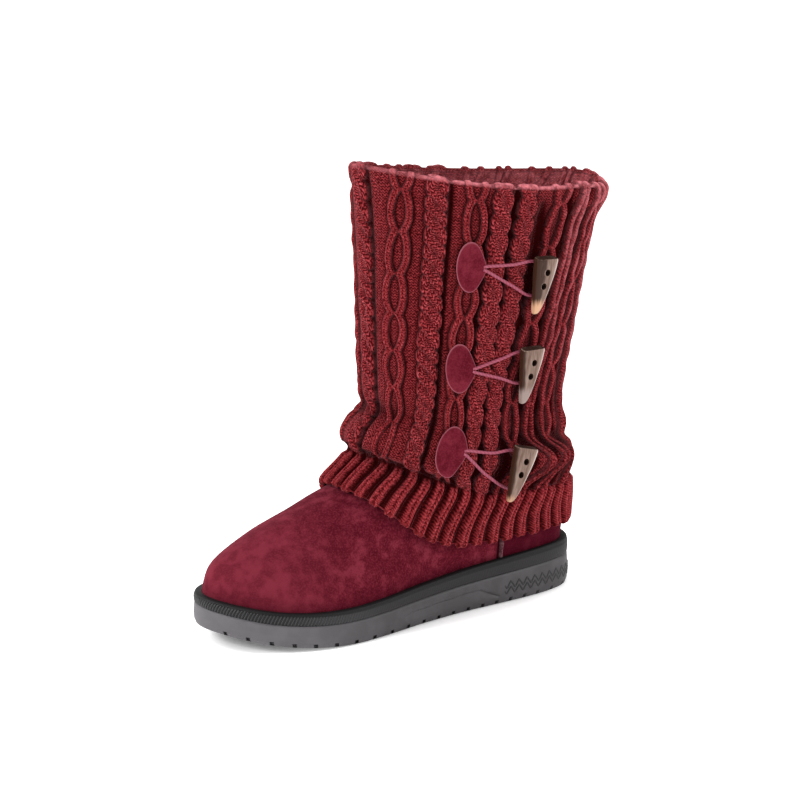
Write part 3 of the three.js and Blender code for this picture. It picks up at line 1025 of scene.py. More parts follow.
    def _zigzag(self, side: int, name: str) -> Draft:
        """Raised zigzag lines on one side of the heel.

        Args:
            side: 1 for the outer side, -1 for the inner one.
            name: The side's name.

        Returns:
            The lines as one draft.
        """
        first, last = (math.acos(2 * y / self.form.length) for y in self.zigzag_reach)
        angle = np.linspace(last, first, self.zigzag_points)
        x, y, along = self.form.edge(angle, 0.0)
        run = lengths_after(np.hypot(np.diff(x), np.diff(y)))
        count = max(1, round(run[-1] / self.zigzag_pitch))
        phase = run / run[-1] * count * math.tau
        sharpness = self.zigzag_sharpness
        swing = self.zigzag_swing * np.arcsin(sharpness * np.sin(phase)) / math.asin(sharpness)
        ends = np.minimum(1, np.minimum(run, run[-1] - run) / self.zigzag_end)
        draft = Draft(f"heel_zigzag_{name}")
        for level in self.zigzag_levels:
            rise = level + swing
            inset = self._bulged(rise / self.form.plan("thick", along))
            slope = np.gradient(rise, run)
            lean = np.sqrt(1 + slope**2)
            rows = []
            for across, out in self.zigzag_profile:
                width = across * self.zigzag_width / 2
                shifted = np.interp(run - width * slope / lean, run, angle)
                height = rise + width / lean
                out_by = self.zigzag_height * out * ends - inset
                px, py, _ = self.form.edge(shifted * side, -out_by)
                rows.append(np.stack([px, py, height], axis=-1))
            grid = np.stack(rows)
            draft.add(grid if side > 0 else grid[:, ::-1])
        return draft


@dataclass
class Foxing:
    """The black rubber band round the bottom of the suede."""

    RIB_ROW = 4

    form: SoleForm
    gap: float = 0.3
    columns: int = 900
    rib_pitch: float = 2.1
    rib_slant: float = 1.6
    rib_least: float = 0.03
    rib_angles: Span = (1.9, 2.5)
    sharp_deg: float = 60.0
    profile: tuple[Span, ...] = (
        *((5.2, 0.0), (0.9, 0.0), (0.45, 0.06), (0.2, 0.2), (0.1, 0.45), (0.22, 0.7), (0.6, 0.77)),
        *((0.7, 0.81), (0.65, 0.85), (0.9, 0.92), (1.5, 0.975), (2.6, 1.0), (5.2, 0.97)),
    )

    def build(self) -> None:
        """Makes the band, with the place and the strength of its ribs kept on the points."""
        angle = even_angles(self.columns)
        inset, share = columns_of(self.profile)
        x, y, along = self.form.edge(angle[None], inset)
        z = self.form.top(along) + self.gap + share * self.form.plan("band", along)
        run = lengths_after(np.hypot(np.diff(x[self.RIB_ROW]), np.diff(y[self.RIB_ROW])))
        away = np.minimum(angle, math.tau - angle)
        strength = between(self.rib_least, 1.0, smoothstep(away, *self.rib_angles))
        ribbing = strength * np.ones_like(share)
        slant = np.where(angle < math.pi, 1, -1) * self.rib_slant
        rib = run[None] / self.rib_pitch + share * slant
        rise = share * np.ones_like(angle)
        points = np.stack([x, y, z], axis=-1)
        band = Draft("foxing_band").add(points, wrap=True, rise=rise, ribbing=ribbing, rib=rib)
        seat(band.build(FoxingFinish().material(), sharp_deg=self.sharp_deg), "black_rubber", "foxing")


@dataclass
class UpperForm:
    """The outside of the suede foot by angle round it and row of its table."""

    NORMAL_STEP = (0.02, 0.05)

    sole: SoleForm
    inset: float = 5.5
    wall: float = 3.0
    heel_end: float = 0.62
    heel_blend: float = 0.32
    sections: Table = Table(
        "row backUp frontUp back toe half side heel oval",
        [
            (0, 0.3, 0.3, 130.5, -130.5, 43.3, 0.0, 0.0, 0.0),
            (1, 11.5, 8.0, 130.5, -130.5, 43.3, 0.0, 0.0, 0.0),
            (2, 20.0, 22.5, 132.3, -126.0, 42.8, -0.5, 2.0, 0.1),
            (3, 31.5, 36.0, 132.0, -112.0, 40.0, -1.6, 3.4, 0.3),
            (4, 43.5, 49.5, 130.5, -88.0, 39.0, -1.4, 4.0, 0.55),
            (5, 55.5, 61.0, 128.5, -62.0, 38.0, -1.0, 3.6, 0.8),
            (6, 67.5, 69.5, 126.5, -37.0, 37.5, -0.6, 2.6, 0.95),
            (7, 80.0, 80.0, 124.5, -14.0, 37.0, 0.0, 1.6, 1.0),
        ],
    )

    @property
    def top_row(self) -> float:
        """The row of the collar."""
        return float(self.sections.keys[-1])

    def point(self, angle: Number, row: Number) -> Array:
        """Points of the outside.

        Args:
            angle: From the heel over the outer side to the toe.
            row: From the sole, 0, to the collar.

        Returns:
            The points.
        """
        angle, row = np.broadcast_arrays(angle, row)
        at = np.clip(row, 0, self.top_row)
        along = toe_share(angle)
        half, oval = self.sections("half", at), self.sections("oval", at)
        sole = (self.sole.fullness(along) - self.inset) * half / (self.sole.ball_half - self.inset)
        in_heel = smoothstep(self.heel_end - along, 0, self.heel_blend)
        full = between(sole, half, oval) + self.sections("heel", at) * in_heel
        middle = self.sections("side", at) + self.sole.plan("centre", along) * (1 - oval)
        y = between(self.sections("back", at), self.sections("toe", at), along)
        lift = between(self.sections("backUp", at), self.sections("frontUp", at), along)
        z = self.sole.top(self.sole.along(y)) + lift
        return np.stack([middle + full * np.sin(angle), y, z], axis=-1)

    def raised(self, angle: Number, row: Number, height: Number) -> Array:
        """Points moved out from the suede along its normal.

        Args:
            angle: From the heel over the outer side to the toe.
            row: From the sole, 0, to the collar.
            height: How far each point moves.

        Returns:
            The moved points.
        """
        angle, row, height = np.broadcast_arrays(angle, row, height)
        turn, step = self.NORMAL_STEP
        run = self.point(angle + turn, row) - self.point(angle - turn, row)
        climb = self.point(angle, row + step) - self.point(angle, row - step)
        return self.point(angle, row) + unit(np.cross(climb, run)) * height[..., None]


@dataclass(frozen=True)
class Crease:
    """A soft trough or ridge along a line on the suede, from one angle and row to another."""

    start: Span
    end: Span
    width: float
    height: float


@dataclass
class Upper:
    """The suede foot with its soft creases and side seams."""

    form: UpperForm
    columns: int = 380
    seam_columns: int = 48
    outside_rows: int = 116
    row_mm: float = 13.0
    collar_fold: Span = (1.5, 3.0)
    collar_rise: float = 0.8
    seam_angle: float = 1.085
    seam_rows: Span = (1.0, 2.75)
    seam_grid: tuple[int, int] = (25, 90)
    seam_spread: float = 0.0125
    seam_tilt: float = 0.024
    seam_tilt_top: float = 3.0
    seam_edge: float = -0.5
    seam_height: float = 1.85
    seam_reach: float = 0.09
    seam_line: float = 0.008
    stitch_mm: float = 2.6
    stitch_beat: Span = (0.6, 0.4)
    stitch_at: float = 0.55
    stitch_width: float = 0.16
    stitch_depth: float = 0.45
    pull_depth: float = 0.6
    pull_width: float = 0.035
    ripple: float = 0.25
    ripple_waves: tuple[Span, Span] = ((7.0, 2.1), (-3.0, 1.7))
    tuck_rows: Span = (1.0, 1.7)
    heel_shade: float = 0.75
    heel_shade_reach: float = 0.02
    low_shade: float = 0.34
    low_shade_rows: Span = (1.0, 1.9)
    crease_points: int = 25
    crease_end: float = 0.12
    creases: tuple[Crease, ...] = (
        Crease((1.3, 2.25), (1.75, 3.0), 4.0, -0.8),
        Crease((1.28, 1.95), (1.68, 2.55), 5.5, 0.6),
        Crease((2.05, 2.2), (2.5, 4.3), 9.0, -0.6),
        Crease((2.2, 1.9), (2.7, 4.0), 8.0, 0.5),
        Crease((-2.05, 2.2), (-2.5, 4.3), 9.0, -0.6),
        Crease((-2.2, 1.9), (-2.7, 4.0), 8.0, 0.5),
        Crease((-1.3, 2.25), (-1.75, 3.0), 4.0, -0.7),
        Crease((0.25, 2.0), (0.85, 2.1), 5.0, -0.5),
        Crease((-0.25, 2.0), (-0.85, 2.1), 5.0, -0.5),
    )

    def _angles(self) -> Array:
        """Places round the foot, closer together at the two seams.

        Returns:
            Rising angles.
        """
        even = even_angles(self.columns)
        near = np.linspace(-self.seam_reach, self.seam_reach, self.seam_columns)
        seams = np.concatenate([near + self.seam_angle, near + math.tau - self.seam_angle])
        return np.unique(np.round(np.concatenate([even, seams]), 6))

    def _relief(self, angle: Array, row: Array) -> Array:
        """Height of the creases, of the pull at the seams and of the tuck at the sole.

        Args:
            angle: Places round the foot.
            row: Rows of the form.

        Returns:
            A height for each place.
        """
        height = crossed_waves(self.ripple, self._turn(angle), row, self.ripple_waves)
        place = self.form.point(angle, row)
        share = np.linspace(0, 1, self.crease_points)
        strengths = np.sin(math.pi * (self.crease_end + (1 - 2 * self.crease_end) * share))
        for crease in self.creases:
            line = self.form.point(*(between(a, b, share) for a, b in zip(crease.start, crease.end)))
            off = np.full(angle.shape, np.inf)
            fade = np.zeros(angle.shape)
            for point, strength in zip(line, strengths):
                away = np.linalg.norm(place - point, axis=-1)
                fade = np.where(away < off, strength, fade)
                off = np.minimum(off, away)
            height = height + crease.height * hill(off, 0, crease.width) * fade
        height = height - self.pull_depth * hill(self._from_seam(angle, row), 0, self.pull_width)
        return height * smoothstep(row, *self.tuck_rows)

    def _turn(self, angle: Array) -> Array:
        """The angle from the heel, negative on the inner side."""
        return (angle + math.pi) % math.tau - math.pi

    def _seam_at(self, row: Array) -> Array:
        """The angle of the seam at each row, a little nearer the heel at the sole."""
        return self.seam_angle + self.seam_tilt * (np.minimum(row, self.seam_tilt_top) - self.seam_rows[1])

    def _from_seam(self, angle: Array, row: Array) -> Array:
        """The angle from the nearer seam, positive towards the toe."""
        return np.abs(self._turn(angle)) - self._seam_at(row)

    def build(self) -> None:
        """Makes the suede and its two seams."""
        angle = self._angles()
        row = np.linspace(0, self.form.top_row, self.outside_rows)
        around, rows = np.meshgrid(angle, row)
        outside = self.form.raised(around, rows, self._relief(around, rows))
        fold = [self.form.raised(angle, self.form.top_row, -inward) for inward in self.collar_fold]
        fold[0][:, 2] += self.collar_rise
        all_rows = np.concatenate([row, [self.form.top_row] * len(fold)])
        off = self._from_seam(*np.meshgrid(angle, all_rows))
        low = self.low_shade * (1 - smoothstep(all_rows, *self.low_shade_rows))[:, None]
        shade = np.maximum(self.heel_shade * smoothstep(-off, 0, self.heel_shade_reach), low)
        line = hill(off, self.seam_spread + self.seam_line, self.seam_line)
        points = np.concatenate([outside, np.stack(fold)])
        foot = Draft("suede_upper").add(points, wrap=True, shade=shade, edge=line)
        seat(foot.build(FOOT_SUEDE.material()), "suede", "upper")
        strip = SEAM_SUEDE.material()
        for side, name in ((1, "lateral"), (-1, "medial")):
            seat(self._seam(side, name).build(strip), "suede", f"seam_welt_{name}")

    def _seam(self, side: int, name: str) -> Draft:
        """A raised seam strip with two rows of stitches pressed into it.

        Args:
            side: 1 for the outer side, -1 for the inner one.
            name: The side's name.

        Returns:
            The strip.
        """
        columns, rows = self.seam_grid
        spread, row = np.meshgrid(np.linspace(-1, 1, columns), np.linspace(*self.seam_rows, rows))
        crown = np.maximum(0, 1 - spread**4) ** 0.5
        mean, swing = self.stitch_beat
        beat = mean + swing * np.sin(row * self.row_mm * math.tau / self.stitch_mm)
        stitch = hill(np.abs(spread), self.stitch_at, self.stitch_width) * beat
        height = self.seam_edge + self.seam_height * crown - self.stitch_depth * stitch
        angle = side * self._seam_at(row) + spread * self.seam_spread
        return Draft(f"seam_strip_{name}").add(self.form.raised(angle, row, height))


@dataclass
class KnitForm:
    """The mean outside of the knit shaft by share of its girth from the back and millimetres up."""

    upper: UpperForm
    wall: float = 5.0
    hem_ease: float = 0.6
    hem_reach: float = 34.0
    hem_rise: Span = (0.52, 1.1)
    top: float = 218.0
    spare: float = 2.0
    back_bend: float = 0.35
    curve_points: int = 48
    columns: int = 960
    normal_reach: int = 4
    sections: Table = Table(
        "up low high back front half hang lean sag bend",
        [
            (0, 44, 95, 138.2, -42.5, 47.0, 1.0, 0.00, 0, 0.70),
            (14, 57, 100, 138.0, -36.0, 49.0, 0.9, 0.00, 0, 0.74),
            (28, 70, 106, 137.0, -25.0, 50.5, 0.7, 0.00, 0, 0.82),
            (40, 82, 113, 135.5, -28.5, 52.5, 0.5, 0.00, 0, 0.92),
            (55, 98, 125, 132.5, -21.0, 53.0, 0.3, 0.00, 0, 1.00),
            (66, 107.5, 133.5, 130.0, -15.5, 52.4, 0.2, 0.00, 0, 1.00),
            (86, 127, 150, 126.0, -15.5, 50.5, 0.0, 0.00, 0, 1.00),
            (140, 179, 205, 136.0, -17.5, 51.5, 0.0, 0.020, 1, 1.00),
            (188, 230, 252, 148.5, -19.5, 52.5, 0.0, 0.045, 2, 1.00),
            (218, 263, 284, 162.0, -23.0, 52.0, 0.0, 0.060, 6, 1.00),
        ],
    )
    hem_line: Table = Table(
        "along row",
        [(0, 2.3), (0.29, 2.4), (0.41, 2.62), (0.48, 2.98), (0.65, 4.05), (0.9, 5.47), (1, 5.95)],
    )

    def __post_init__(self) -> None:
        """Works out the points and normals on a close grid of rows and columns."""
        angle = even_angles(self.curve_points)
        row = self.hem_line("row", toe_share(angle))
        hem, _ = closed_curve(self.upper.raised(angle, row, self.wall + self.hem_ease), self.columns)
        offset = hem - self._section(0.0)
        self.ups = np.arange(-self.spare, self.top + self.spare + 1)
        rows = []
        for up in self.ups:
            pull = 1 - smoothstep(up, 0, self.hem_reach)
            rows.append(closed_curve(self._section(up) + offset * pull, self.columns, fine=2))
        self.points = np.stack([points for points, _ in rows])
        self.girths = np.array([girth for _, girth in rows])
        ahead, behind = (np.roll(self.points, by * self.normal_reach, axis=1) for by in (-1, 1))
        self.normals = unit(np.cross(np.gradient(self.points, axis=0), ahead - behind))

    def _section(self, up: float) -> Array:
        """Even points of one row of the table, before the hem draws it in.

        Args:
            up: Millimetres up from the hem.

        Returns:
            The points, once round.
        """
        angle = even_angles(self.curve_points)
        along = toe_share(angle)
        side = np.abs(np.sin(angle))
        power = between(1, self.sections("bend", up), np.where(along > 0.5, 1, self.back_bend))
        x = self.sections("half", up) * side**power * np.sign(np.sin(angle))
        y = between(self.sections("back", up), self.sections("front", up), along)
        rise = between(along, smoothstep(along, *self.hem_rise), self.sections("hang", up))
        level = between(self.sections("low", up), self.sections("high", up), rise)
        z = level + self.sections("lean", up) * x - self.sections("sag", up) * side**2
        return closed_curve(np.stack([x, y, z], axis=-1), self.columns)[0]

    def girth(self, up: Number) -> Array:
        """The length round the shaft."""
        return np.interp(up, self.ups, self.girths)

    def _read(self, table: Array, share: Array, up: Array) -> Array:
        """Values of a grid between its rows and columns.

        Args:
            table: The grid.
            share: Share of the girth.
            up: Millimetres up from the hem.

        Returns:
            A value for each place.
        """
        column = (share % 1) * self.columns
        row = np.clip(up - self.ups[0], 0, len(self.ups) - 1.001)
        left, low = column.astype(int), row.astype(int)
        right = (left + 1) % self.columns
        left = left % self.columns
        across, climb = (column - np.floor(column))[..., None], (row - low)[..., None]
        below = between(table[low, left], table[low, right], across)
        above = between(table[low + 1, left], table[low + 1, right], across)
        return between(below, above, climb)

    def normal(self, share: Number, up: Number) -> Array:
        """Directions straight out of the knit."""
        share, up = np.broadcast_arrays(share, up)
        return unit(self._read(self.normals, share, up))

    def at(self, share: Number, up: Number, height: Number = 0.0) -> Array:
        """Points at a share of the girth and a height up, moved out from the mean outside."""
        share, up, height = np.broadcast_arrays(share, up, height)
        return self._read(self.points, share, up) + self.normal(share, up) * height[..., None]


class CableKind(Enum):
    """The cables that run up the shaft."""

    ROPE = "r"
    BROAD_ROPE = "R"
    CHAIN = "c"
    PAIR = "p"


@dataclass(frozen=True)
class Cable:
    """Two strands that sway about a line: ropes wind round each other, chains open and close."""

    sway: float
    width: float
    pitch: float
    lift: float
    over: float
    plain: float
    wales: int = 2
    winds: bool = False
    closed: float = 0.0
    sinks: float = 0.0


@dataclass(frozen=True)
class Fold:
    """A soft ridge or trough of the slack knit: where it is, how far it reaches, how high it stands."""

    share: float
    up: float
    half_share: float
    half_up: float
    height: float


@dataclass
class Weave:
    """Tables of a stretch of knit, rows by columns.

    They hold the height over the mean outside, the lanes and the lay of the stitches, how plain the
    strands are, and the shade beside them.
    """

    height: Array
    lane: Array
    lay: Array
    plain: Array
    shade: Array


@dataclass(frozen=True)
class Gather:
    """Where the knit is drawn in between two cables, counted in cables from the back."""

    line: float
    depth: float
    width: float
    below: float = 400.0


@dataclass
class PanelRows:
    """Rows of a panel from inside the hem, up the outside, over the rim and down the inside.

    For each row they hold the height up the shaft, the turn of the cloth from 0 outside to half a turn
    inside, the distance inward, and the share of the relief.
    """

    ups: Array
    turns: Array
    inward: Array
    fade: Array


@dataclass
class KnitShaft:
    """The cable-knit shaft with its ribbed hem and rolled rim, in four panels that meet in valleys."""

    UNDER_ALL = -99.0
    SLOPE_STEP = 0.3
    INSIDE_TURN = 2.0

    form: KnitForm
    order: str = "rpcpcrrcRcR"
    lines: SmoothCurve = SmoothCurve(
        [-20, 0, 32, 47, 64, 86, 136, 210, 240],
        [
            (0, 0.078, 0.138, 0.182, 0.216, 0.254, 0.296, 0.342, 0.408, 0.456, 0.5),
            (0, 0.090, 0.150, 0.194, 0.228, 0.268, 0.304, 0.347, 0.407, 0.456, 0.5),
            (0, 0.112, 0.174, 0.218, 0.254, 0.289, 0.318, 0.353, 0.401, 0.448, 0.5),
            (0, 0.058, 0.104, 0.152, 0.222, 0.280, 0.314, 0.350, 0.400, 0.448, 0.5),
            (0, 0.108, 0.166, 0.211, 0.250, 0.287, 0.317, 0.352, 0.401, 0.448, 0.5),
            (0, 0.095, 0.156, 0.200, 0.240, 0.274, 0.307, 0.344, 0.392, 0.449, 0.5),
            (0, 0.070, 0.128, 0.172, 0.211, 0.261, 0.295, 0.335, 0.390, 0.445, 0.5),
            (0, 0.042, 0.088, 0.140, 0.187, 0.247, 0.288, 0.328, 0.383, 0.434, 0.5),
            (0, 0.036, 0.080, 0.134, 0.181, 0.243, 0.286, 0.326, 0.382, 0.433, 0.5),
        ],
    )
    cables: Mapping[CableKind, Cable] = field(
        default_factory=lambda: {
            CableKind.ROPE: Cable(
                sway=3.3, width=8.4, pitch=13.5, lift=2.8, over=0.9, wales=3, winds=True, plain=0.3
            ),
            CableKind.BROAD_ROPE: Cable(
                sway=3.5, width=7.6, pitch=10.6, lift=2.7, over=0.9, wales=3, winds=True, plain=0.2
            ),
            CableKind.CHAIN: Cable(
                sway=6.0, width=4.7, pitch=24.6, lift=2.3, over=1.0, plain=0.62, closed=0.3, sinks=1.1
            ),
            CableKind.PAIR: Cable(
                sway=3.4, width=4.0, pitch=33.0, lift=3.2, over=0.5, plain=0.55, closed=0.5
            ),
        }
    )
    gathers: tuple[Gather, ...] = (
        Gather(0.5, 1.8, 3.0),
        Gather(1.5, 2.8, 2.6),
        Gather(2.5, 3.2, 2.4),
        Gather(3.5, 3.8, 3.0),
        Gather(4.5, 3.6, 2.6, 195.0),
        Gather(5.5, 2.6, 1.5),
        Gather(6.56, 3.0, 1.8, 190.0),
        Gather(7.66, 2.2, 1.8),
        Gather(9.73, 1.5, 1.8),
    )
    # Gathers and the ground between the cables
    gather_fade: float = 22.0
    low_gather: float = 0.65
    low_gather_up: Span = (70.0, 130.0)
    ground: float = -0.9
    deepest: float = -4.2
    deepest_inside: float = -0.3
    sink_back: float = 0.8
    sink_shares: Span = (0.14, 0.28)
    # Strands of the cables
    stitch: float = 1.85
    stitch_lean: float = 1.06
    strand_rise: float = 0.3
    strand_round: float = 0.6
    chain_opening: float = 0.6
    chain_cross: float = 0.4
    uneven: float = 0.55
    uneven_lengths: Triple = (3.7, 6.1, 4.0)
    # Waves up a cable: size, length, and shift from one cable to the next
    slips: tuple[Triple, ...] = ((0.8, 4.9, 1.9), (1.5, 17.0, 4.1))
    wanders: tuple[Triple, ...] = ((0.45, 19.0, 2.4), (0.3, 7.3, 1.0))
    squeeze: float = 0.74
    squeeze_up: Span = (62.0, 120.0)
    # Shade beside the strands
    shades: Span = (1.0, 0.7)
    shade_reach: float = 1.5
    shade_depth: float = 2.1
    strand_edge: float = 0.7
    strand_edge_shade: float = 0.6
    # Plain ground and ribbed hem
    wales_round: int = 196
    course: float = 1.8
    ribs: int = 41
    rib_even: float = 14.0
    rib_ground: float = -2.2
    rib_top: Span = (28.0, 33.0)
    rib_height: float = 3.3
    rib_uneven: float = 0.16
    rib_beat: float = 2.4
    rib_sides: Span = (0.17, 0.4)
    rib_half: float = 0.34
    rib_plain: float = 0.8
    # Columns and rows of the panels
    columns: int = 684
    even_at: float = 110.0
    row_step: float = 0.56
    # Turned hem and rolled rim
    hem_rows: int = 9
    hem_radius: float = 1.7
    hem_probe: float = 3.0
    hem_fade: Span = (1.0, 0.2)
    rim_rows: int = 19
    rim_radius: float = 2.7
    rim_rise: float = 3.4
    rim_from: float = 185.0
    rim_lift: Triple = (1.5, -2.5, 1.0)
    rim_fade: Span = (0.75, 0.5)
    rim_fade_turn: float = 1.5
    rim_fade_reach: float = 8.0
    corner_at: float = 0.06
    corner_width: float = 0.05
    corner_from: float = 200.0
    corner_drop: float = 5.0
    # Inside of the knit
    inside_break: float = 170.0
    inside_rows: tuple[int, int] = (32, 36)
    inside_end: float = 58.0
    inside_fade: Span = (0.3, 0.5)
    inside_fade_up: Span = (150.0, 200.0)
    inside_light: float = 1.6
    # Painted highlight and painted light on the yarn
    rim_highlight: Span = (1.0, 0.8)
    rim_highlight_from: float = 0.5
    rim_bright: float = 0.34
    rim_bright_shares: Span = (0.18, 0.32)
    rim_dim: float = 0.4
    inside_painted_light: float = 0.32
    inside_painted_light_turn: float = 2.4
    inside_painted_light_up: Span = (120.0, 200.0)
    lit_crowns: float = 0.45
    lit_crowns_at: float = 0.42
    lit_crowns_shares: Span = (0.05, 0.12)
    lit_crowns_heights: Span = (0.4, 2.0)
    lit_crowns_up: Span = (70.0, 170.0)
    # Panels and folds
    seams: tuple[float, ...] = (0.5, 5.5, 10.27, 15.5)
    panel_names: tuple[str, ...] = ("outer_back", "outer_front", "inner_front", "inner_back")
    relief_range: Span = (-3.0, 2.8)
    folds: tuple[Fold, ...] = (
        Fold(0.50, 30.5, 0.17, 3.4, -2.4),
        Fold(0.55, 36.0, 0.12, 5.0, -2.6),
        Fold(0.55, 51.0, 0.12, 7.0, 2.2),
        Fold(0.55, 68.0, 0.10, 6.0, -2.4),
        Fold(0.56, 16.0, 0.10, 9.0, -1.6),
        Fold(0.37, 31.0, 0.06, 3.2, -1.8),
        Fold(0.38, 38.0, 0.06, 6.0, 1.6),
        Fold(0.63, 31.0, 0.06, 3.2, -1.8),
        Fold(0.62, 38.0, 0.06, 6.0, 1.6),
        Fold(0.13, 47.0, 0.09, 6.5, 1.7),
        Fold(0.11, 60.0, 0.10, 6.0, -1.8),
        Fold(0.08, 73.0, 0.10, 8.0, 1.2),
        Fold(0.88, 50.0, 0.09, 6.5, 1.5),
        Fold(0.90, 63.0, 0.10, 6.0, -1.6),
        Fold(0.24, 34.0, 0.06, 3.0, -1.0),
        Fold(0.07, 213.0, 0.10, 9.0, 2.0),
    )

    @property
    def count(self) -> int:
        """The number of cables round the shaft."""
        return 2 * len(self.order) - 2

    def _centres(self, up: Array) -> Array:
        """Shares of the girth of the cables' lines at each height, once round and two lines on."""
        outer = self.lines(up)
        ring = np.concatenate([outer, 1 - outer[:, -2::-1]], axis=1)
        return np.concatenate([ring, 1 + ring[:, 1:3]], axis=1)

    def shares(self, line: Array, up: Array) -> Array:
        """Shares of the girth, rows by columns, of columns counted in cables from the back."""
        centres, low = self._centres(up), np.floor(line).astype(int)
        return between(centres[:, low], centres[:, low + 1], line - low)

    def _path(self, cable: Cable, up: Array, sign: int) -> Array:
        """How far one strand of a cable lies from the cable's line.

        Args:
            cable: The cable's sizes.
            up: Height up the shaft.
            sign: Which of the two strands.

        Returns:
            The distance at each height.
        """
        phase = math.pi * up / cable.pitch
        if cable.winds:
            return sign * cable.sway * np.sin(phase)
        return sign * cable.sway * between(cable.closed, 1, np.abs(np.cos(phase)) ** self.chain_opening)

    def _strand(self, cable: Cable, offset: Array, up: Array, sign: int) -> Weave:
        """One strand of a cable, far below the ground outside it.

        Args:
            cable: The cable's sizes.
            offset: Distance from the cable's line.
            up: Height up the shaft.
            sign: Which of the two strands.

        Returns:
            The strand, with the shade that it leaves beside it, most on the side of the back.
        """
        path = self._path(cable, up, sign)
        step = self.SLOPE_STEP
        slope = (self._path(cable, up + step, sign) - self._path(cable, up - step, sign)) / (2 * step)
        phase = math.pi * up / cable.pitch
        if cable.winds:
            over = sign * np.cos(phase)
        else:
            turn = np.where(np.floor(up / cable.pitch) % 2 == 0, 1, -1)
            pinch = (1 - np.abs(np.cos(phase))) ** 2
            over = (sign * turn * self.chain_cross - cable.sinks) * pinch
        lean = 1 / np.sqrt(1 + slope**2)
        side = (offset - path) * lean / (cable.width / 2)
        lane = side * cable.wales / 2 + 0.5 * (cable.wales % 2)
        lay = (up * self.stitch_lean + (offset - path) * slope * lean) / self.stitch
        crown = np.maximum(0, 1 - side**2) ** self.strand_round
        short, long, across = self.uneven_lengths
        uneven = self.uneven * np.sin(up / short + sign * 2) * np.sin(up / long + offset / across)
        height = self.ground + (cable.lift + cable.over * over + uneven) * crown
        height = height + self.strand_rise * cable.plain * crown * np.cos(math.tau * (lane - 0.5))
        beside = (np.abs(side) - 1) * cable.width / 2
        shade = np.where(side < 0, *self.shades) * hill(np.maximum(beside, 0), 0, self.shade_reach)
        inside = self.strand_edge_shade * smoothstep(beside, -self.strand_edge, 0)
        shade = np.where(beside < 0, inside, shade)
        plain = np.full(side.shape, cable.plain)
        return Weave(np.where(beside < 0, height, self.UNDER_ALL), lane, lay, plain, shade)

    def _body(self, line: Array, up: Array) -> Weave:
        """Ropes, chains and the ground between them.

        Args:
            line: Columns, counted in cables from the back.
            up: Height of each row.

        Returns:
            The knit above the ribs.
        """
        share = self.shares(line, up)
        girth = self.form.girth(up)[:, None]
        near = np.round(line).astype(int)
        mirrored = len(self.order) - 1 - np.abs(near % self.count - len(self.order) + 1)
        rough, wander = (
            sum((size * np.sin(up[:, None] / length + near * shift) for size, length, shift in waves), start)
            for waves, start in ((self.slips, up[:, None]), (self.wanders, 0.0))
        )
        room = between(self.squeeze, 1, smoothstep(up, *self.squeeze_up))[:, None]
        offset = (share - self._centres(up)[:, near]) * girth / room + wander
        ground = self.ground - self.sink_back * smoothstep(np.abs(share - 0.5), *self.sink_shares)
        slack = 1 + self.low_gather * (1 - smoothstep(up, *self.low_gather_up)[:, None])
        for gather in self.gathers:
            reach = 1 - smoothstep(up, gather.below, gather.below + self.gather_fade)[:, None]
            reach = reach * slack
            for place in (gather.line, self.count - gather.line):
                away = (share - self.shares(np.array([place]), up) + 0.5) % 1 - 0.5
                ground = ground - gather.depth * reach * hill(away * girth, 0, gather.width)
        lay = np.broadcast_to(up[:, None] / self.course, share.shape).copy()
        knit = Weave(ground, share * self.wales_round, lay, np.zeros(share.shape), np.zeros(share.shape))
        kinds = np.array(list(self.order))[mirrored]
        for kind, cable in self.cables.items():
            chosen = kinds == kind.value
            for sign in (1, -1):
                strand = self._strand(cable, offset[:, chosen], rough[:, chosen], sign)
                above = strand.height > knit.height[:, chosen]
                outside = strand.height == self.UNDER_ALL
                beside = np.maximum(strand.shade * outside, knit.shade[:, chosen])
                knit.shade[:, chosen] = np.where(above, strand.shade, beside)
                for name in ("height", "lane", "lay", "plain"):
                    table = getattr(knit, name)
                    table[:, chosen] = np.where(above, getattr(strand, name), table[:, chosen])
        return knit

    def _rib(self, line: Array, up: Array) -> Weave:
        """The ribbed hem, two wales to a rib.

        Args:
            line: Columns, counted in cables from the back.
            up: Height of each row.

        Returns:
            The knit below the cables.
        """
        count = self.shares(line, np.array([self.rib_even]))[0] * self.ribs
        off = count % 1 - 0.5
        plateau = 1 - smoothstep(np.abs(off), *self.rib_sides)
        lane = np.clip(off / self.rib_half, -1, 1)
        uneven = 1 + self.rib_uneven * np.sin(np.floor(count) * self.rib_beat)
        height = self.rib_ground + self.rib_height * plateau * uneven
        height = height + self.strand_rise * np.cos(math.tau * (lane - 0.5)) * plateau
        shape = (len(up), len(line))
        tables = (height, lane, up[:, None] / self.stitch, np.array(self.rib_plain), np.array(0.0))
        return Weave(*(np.broadcast_to(table, shape) for table in tables))

    def relief(self, line: Array, up: Array) -> Weave:
        """The whole knit: ribs below, cables above, and the folds of the slack cloth.

        Args:
            line: Columns, counted in cables from the back.
            up: Height of each row.

        Returns:
            The knit.
        """
        share = self.shares(line, up)
        body = smoothstep(up, *self.rib_top)[:, None]
        ribs, cables = self._rib(line, up), self._body(line, up)
        height = between(ribs.height, cables.height, body)
        for fold in self.folds:
            off = np.abs((share - fold.share + 0.5) % 1 - 0.5)
            across, climb = hill(off, 0, fold.half_share), hill(up, fold.up, fold.half_up)
            height = height + fold.height * across * climb[:, None]
        lane, lay, plain = (
            np.where(body < 0.5, getattr(ribs, name), getattr(cables, name))
            for name in ("lane", "lay", "plain")
        )
        return Weave(height, lane, lay, plain, cables.shade * body)

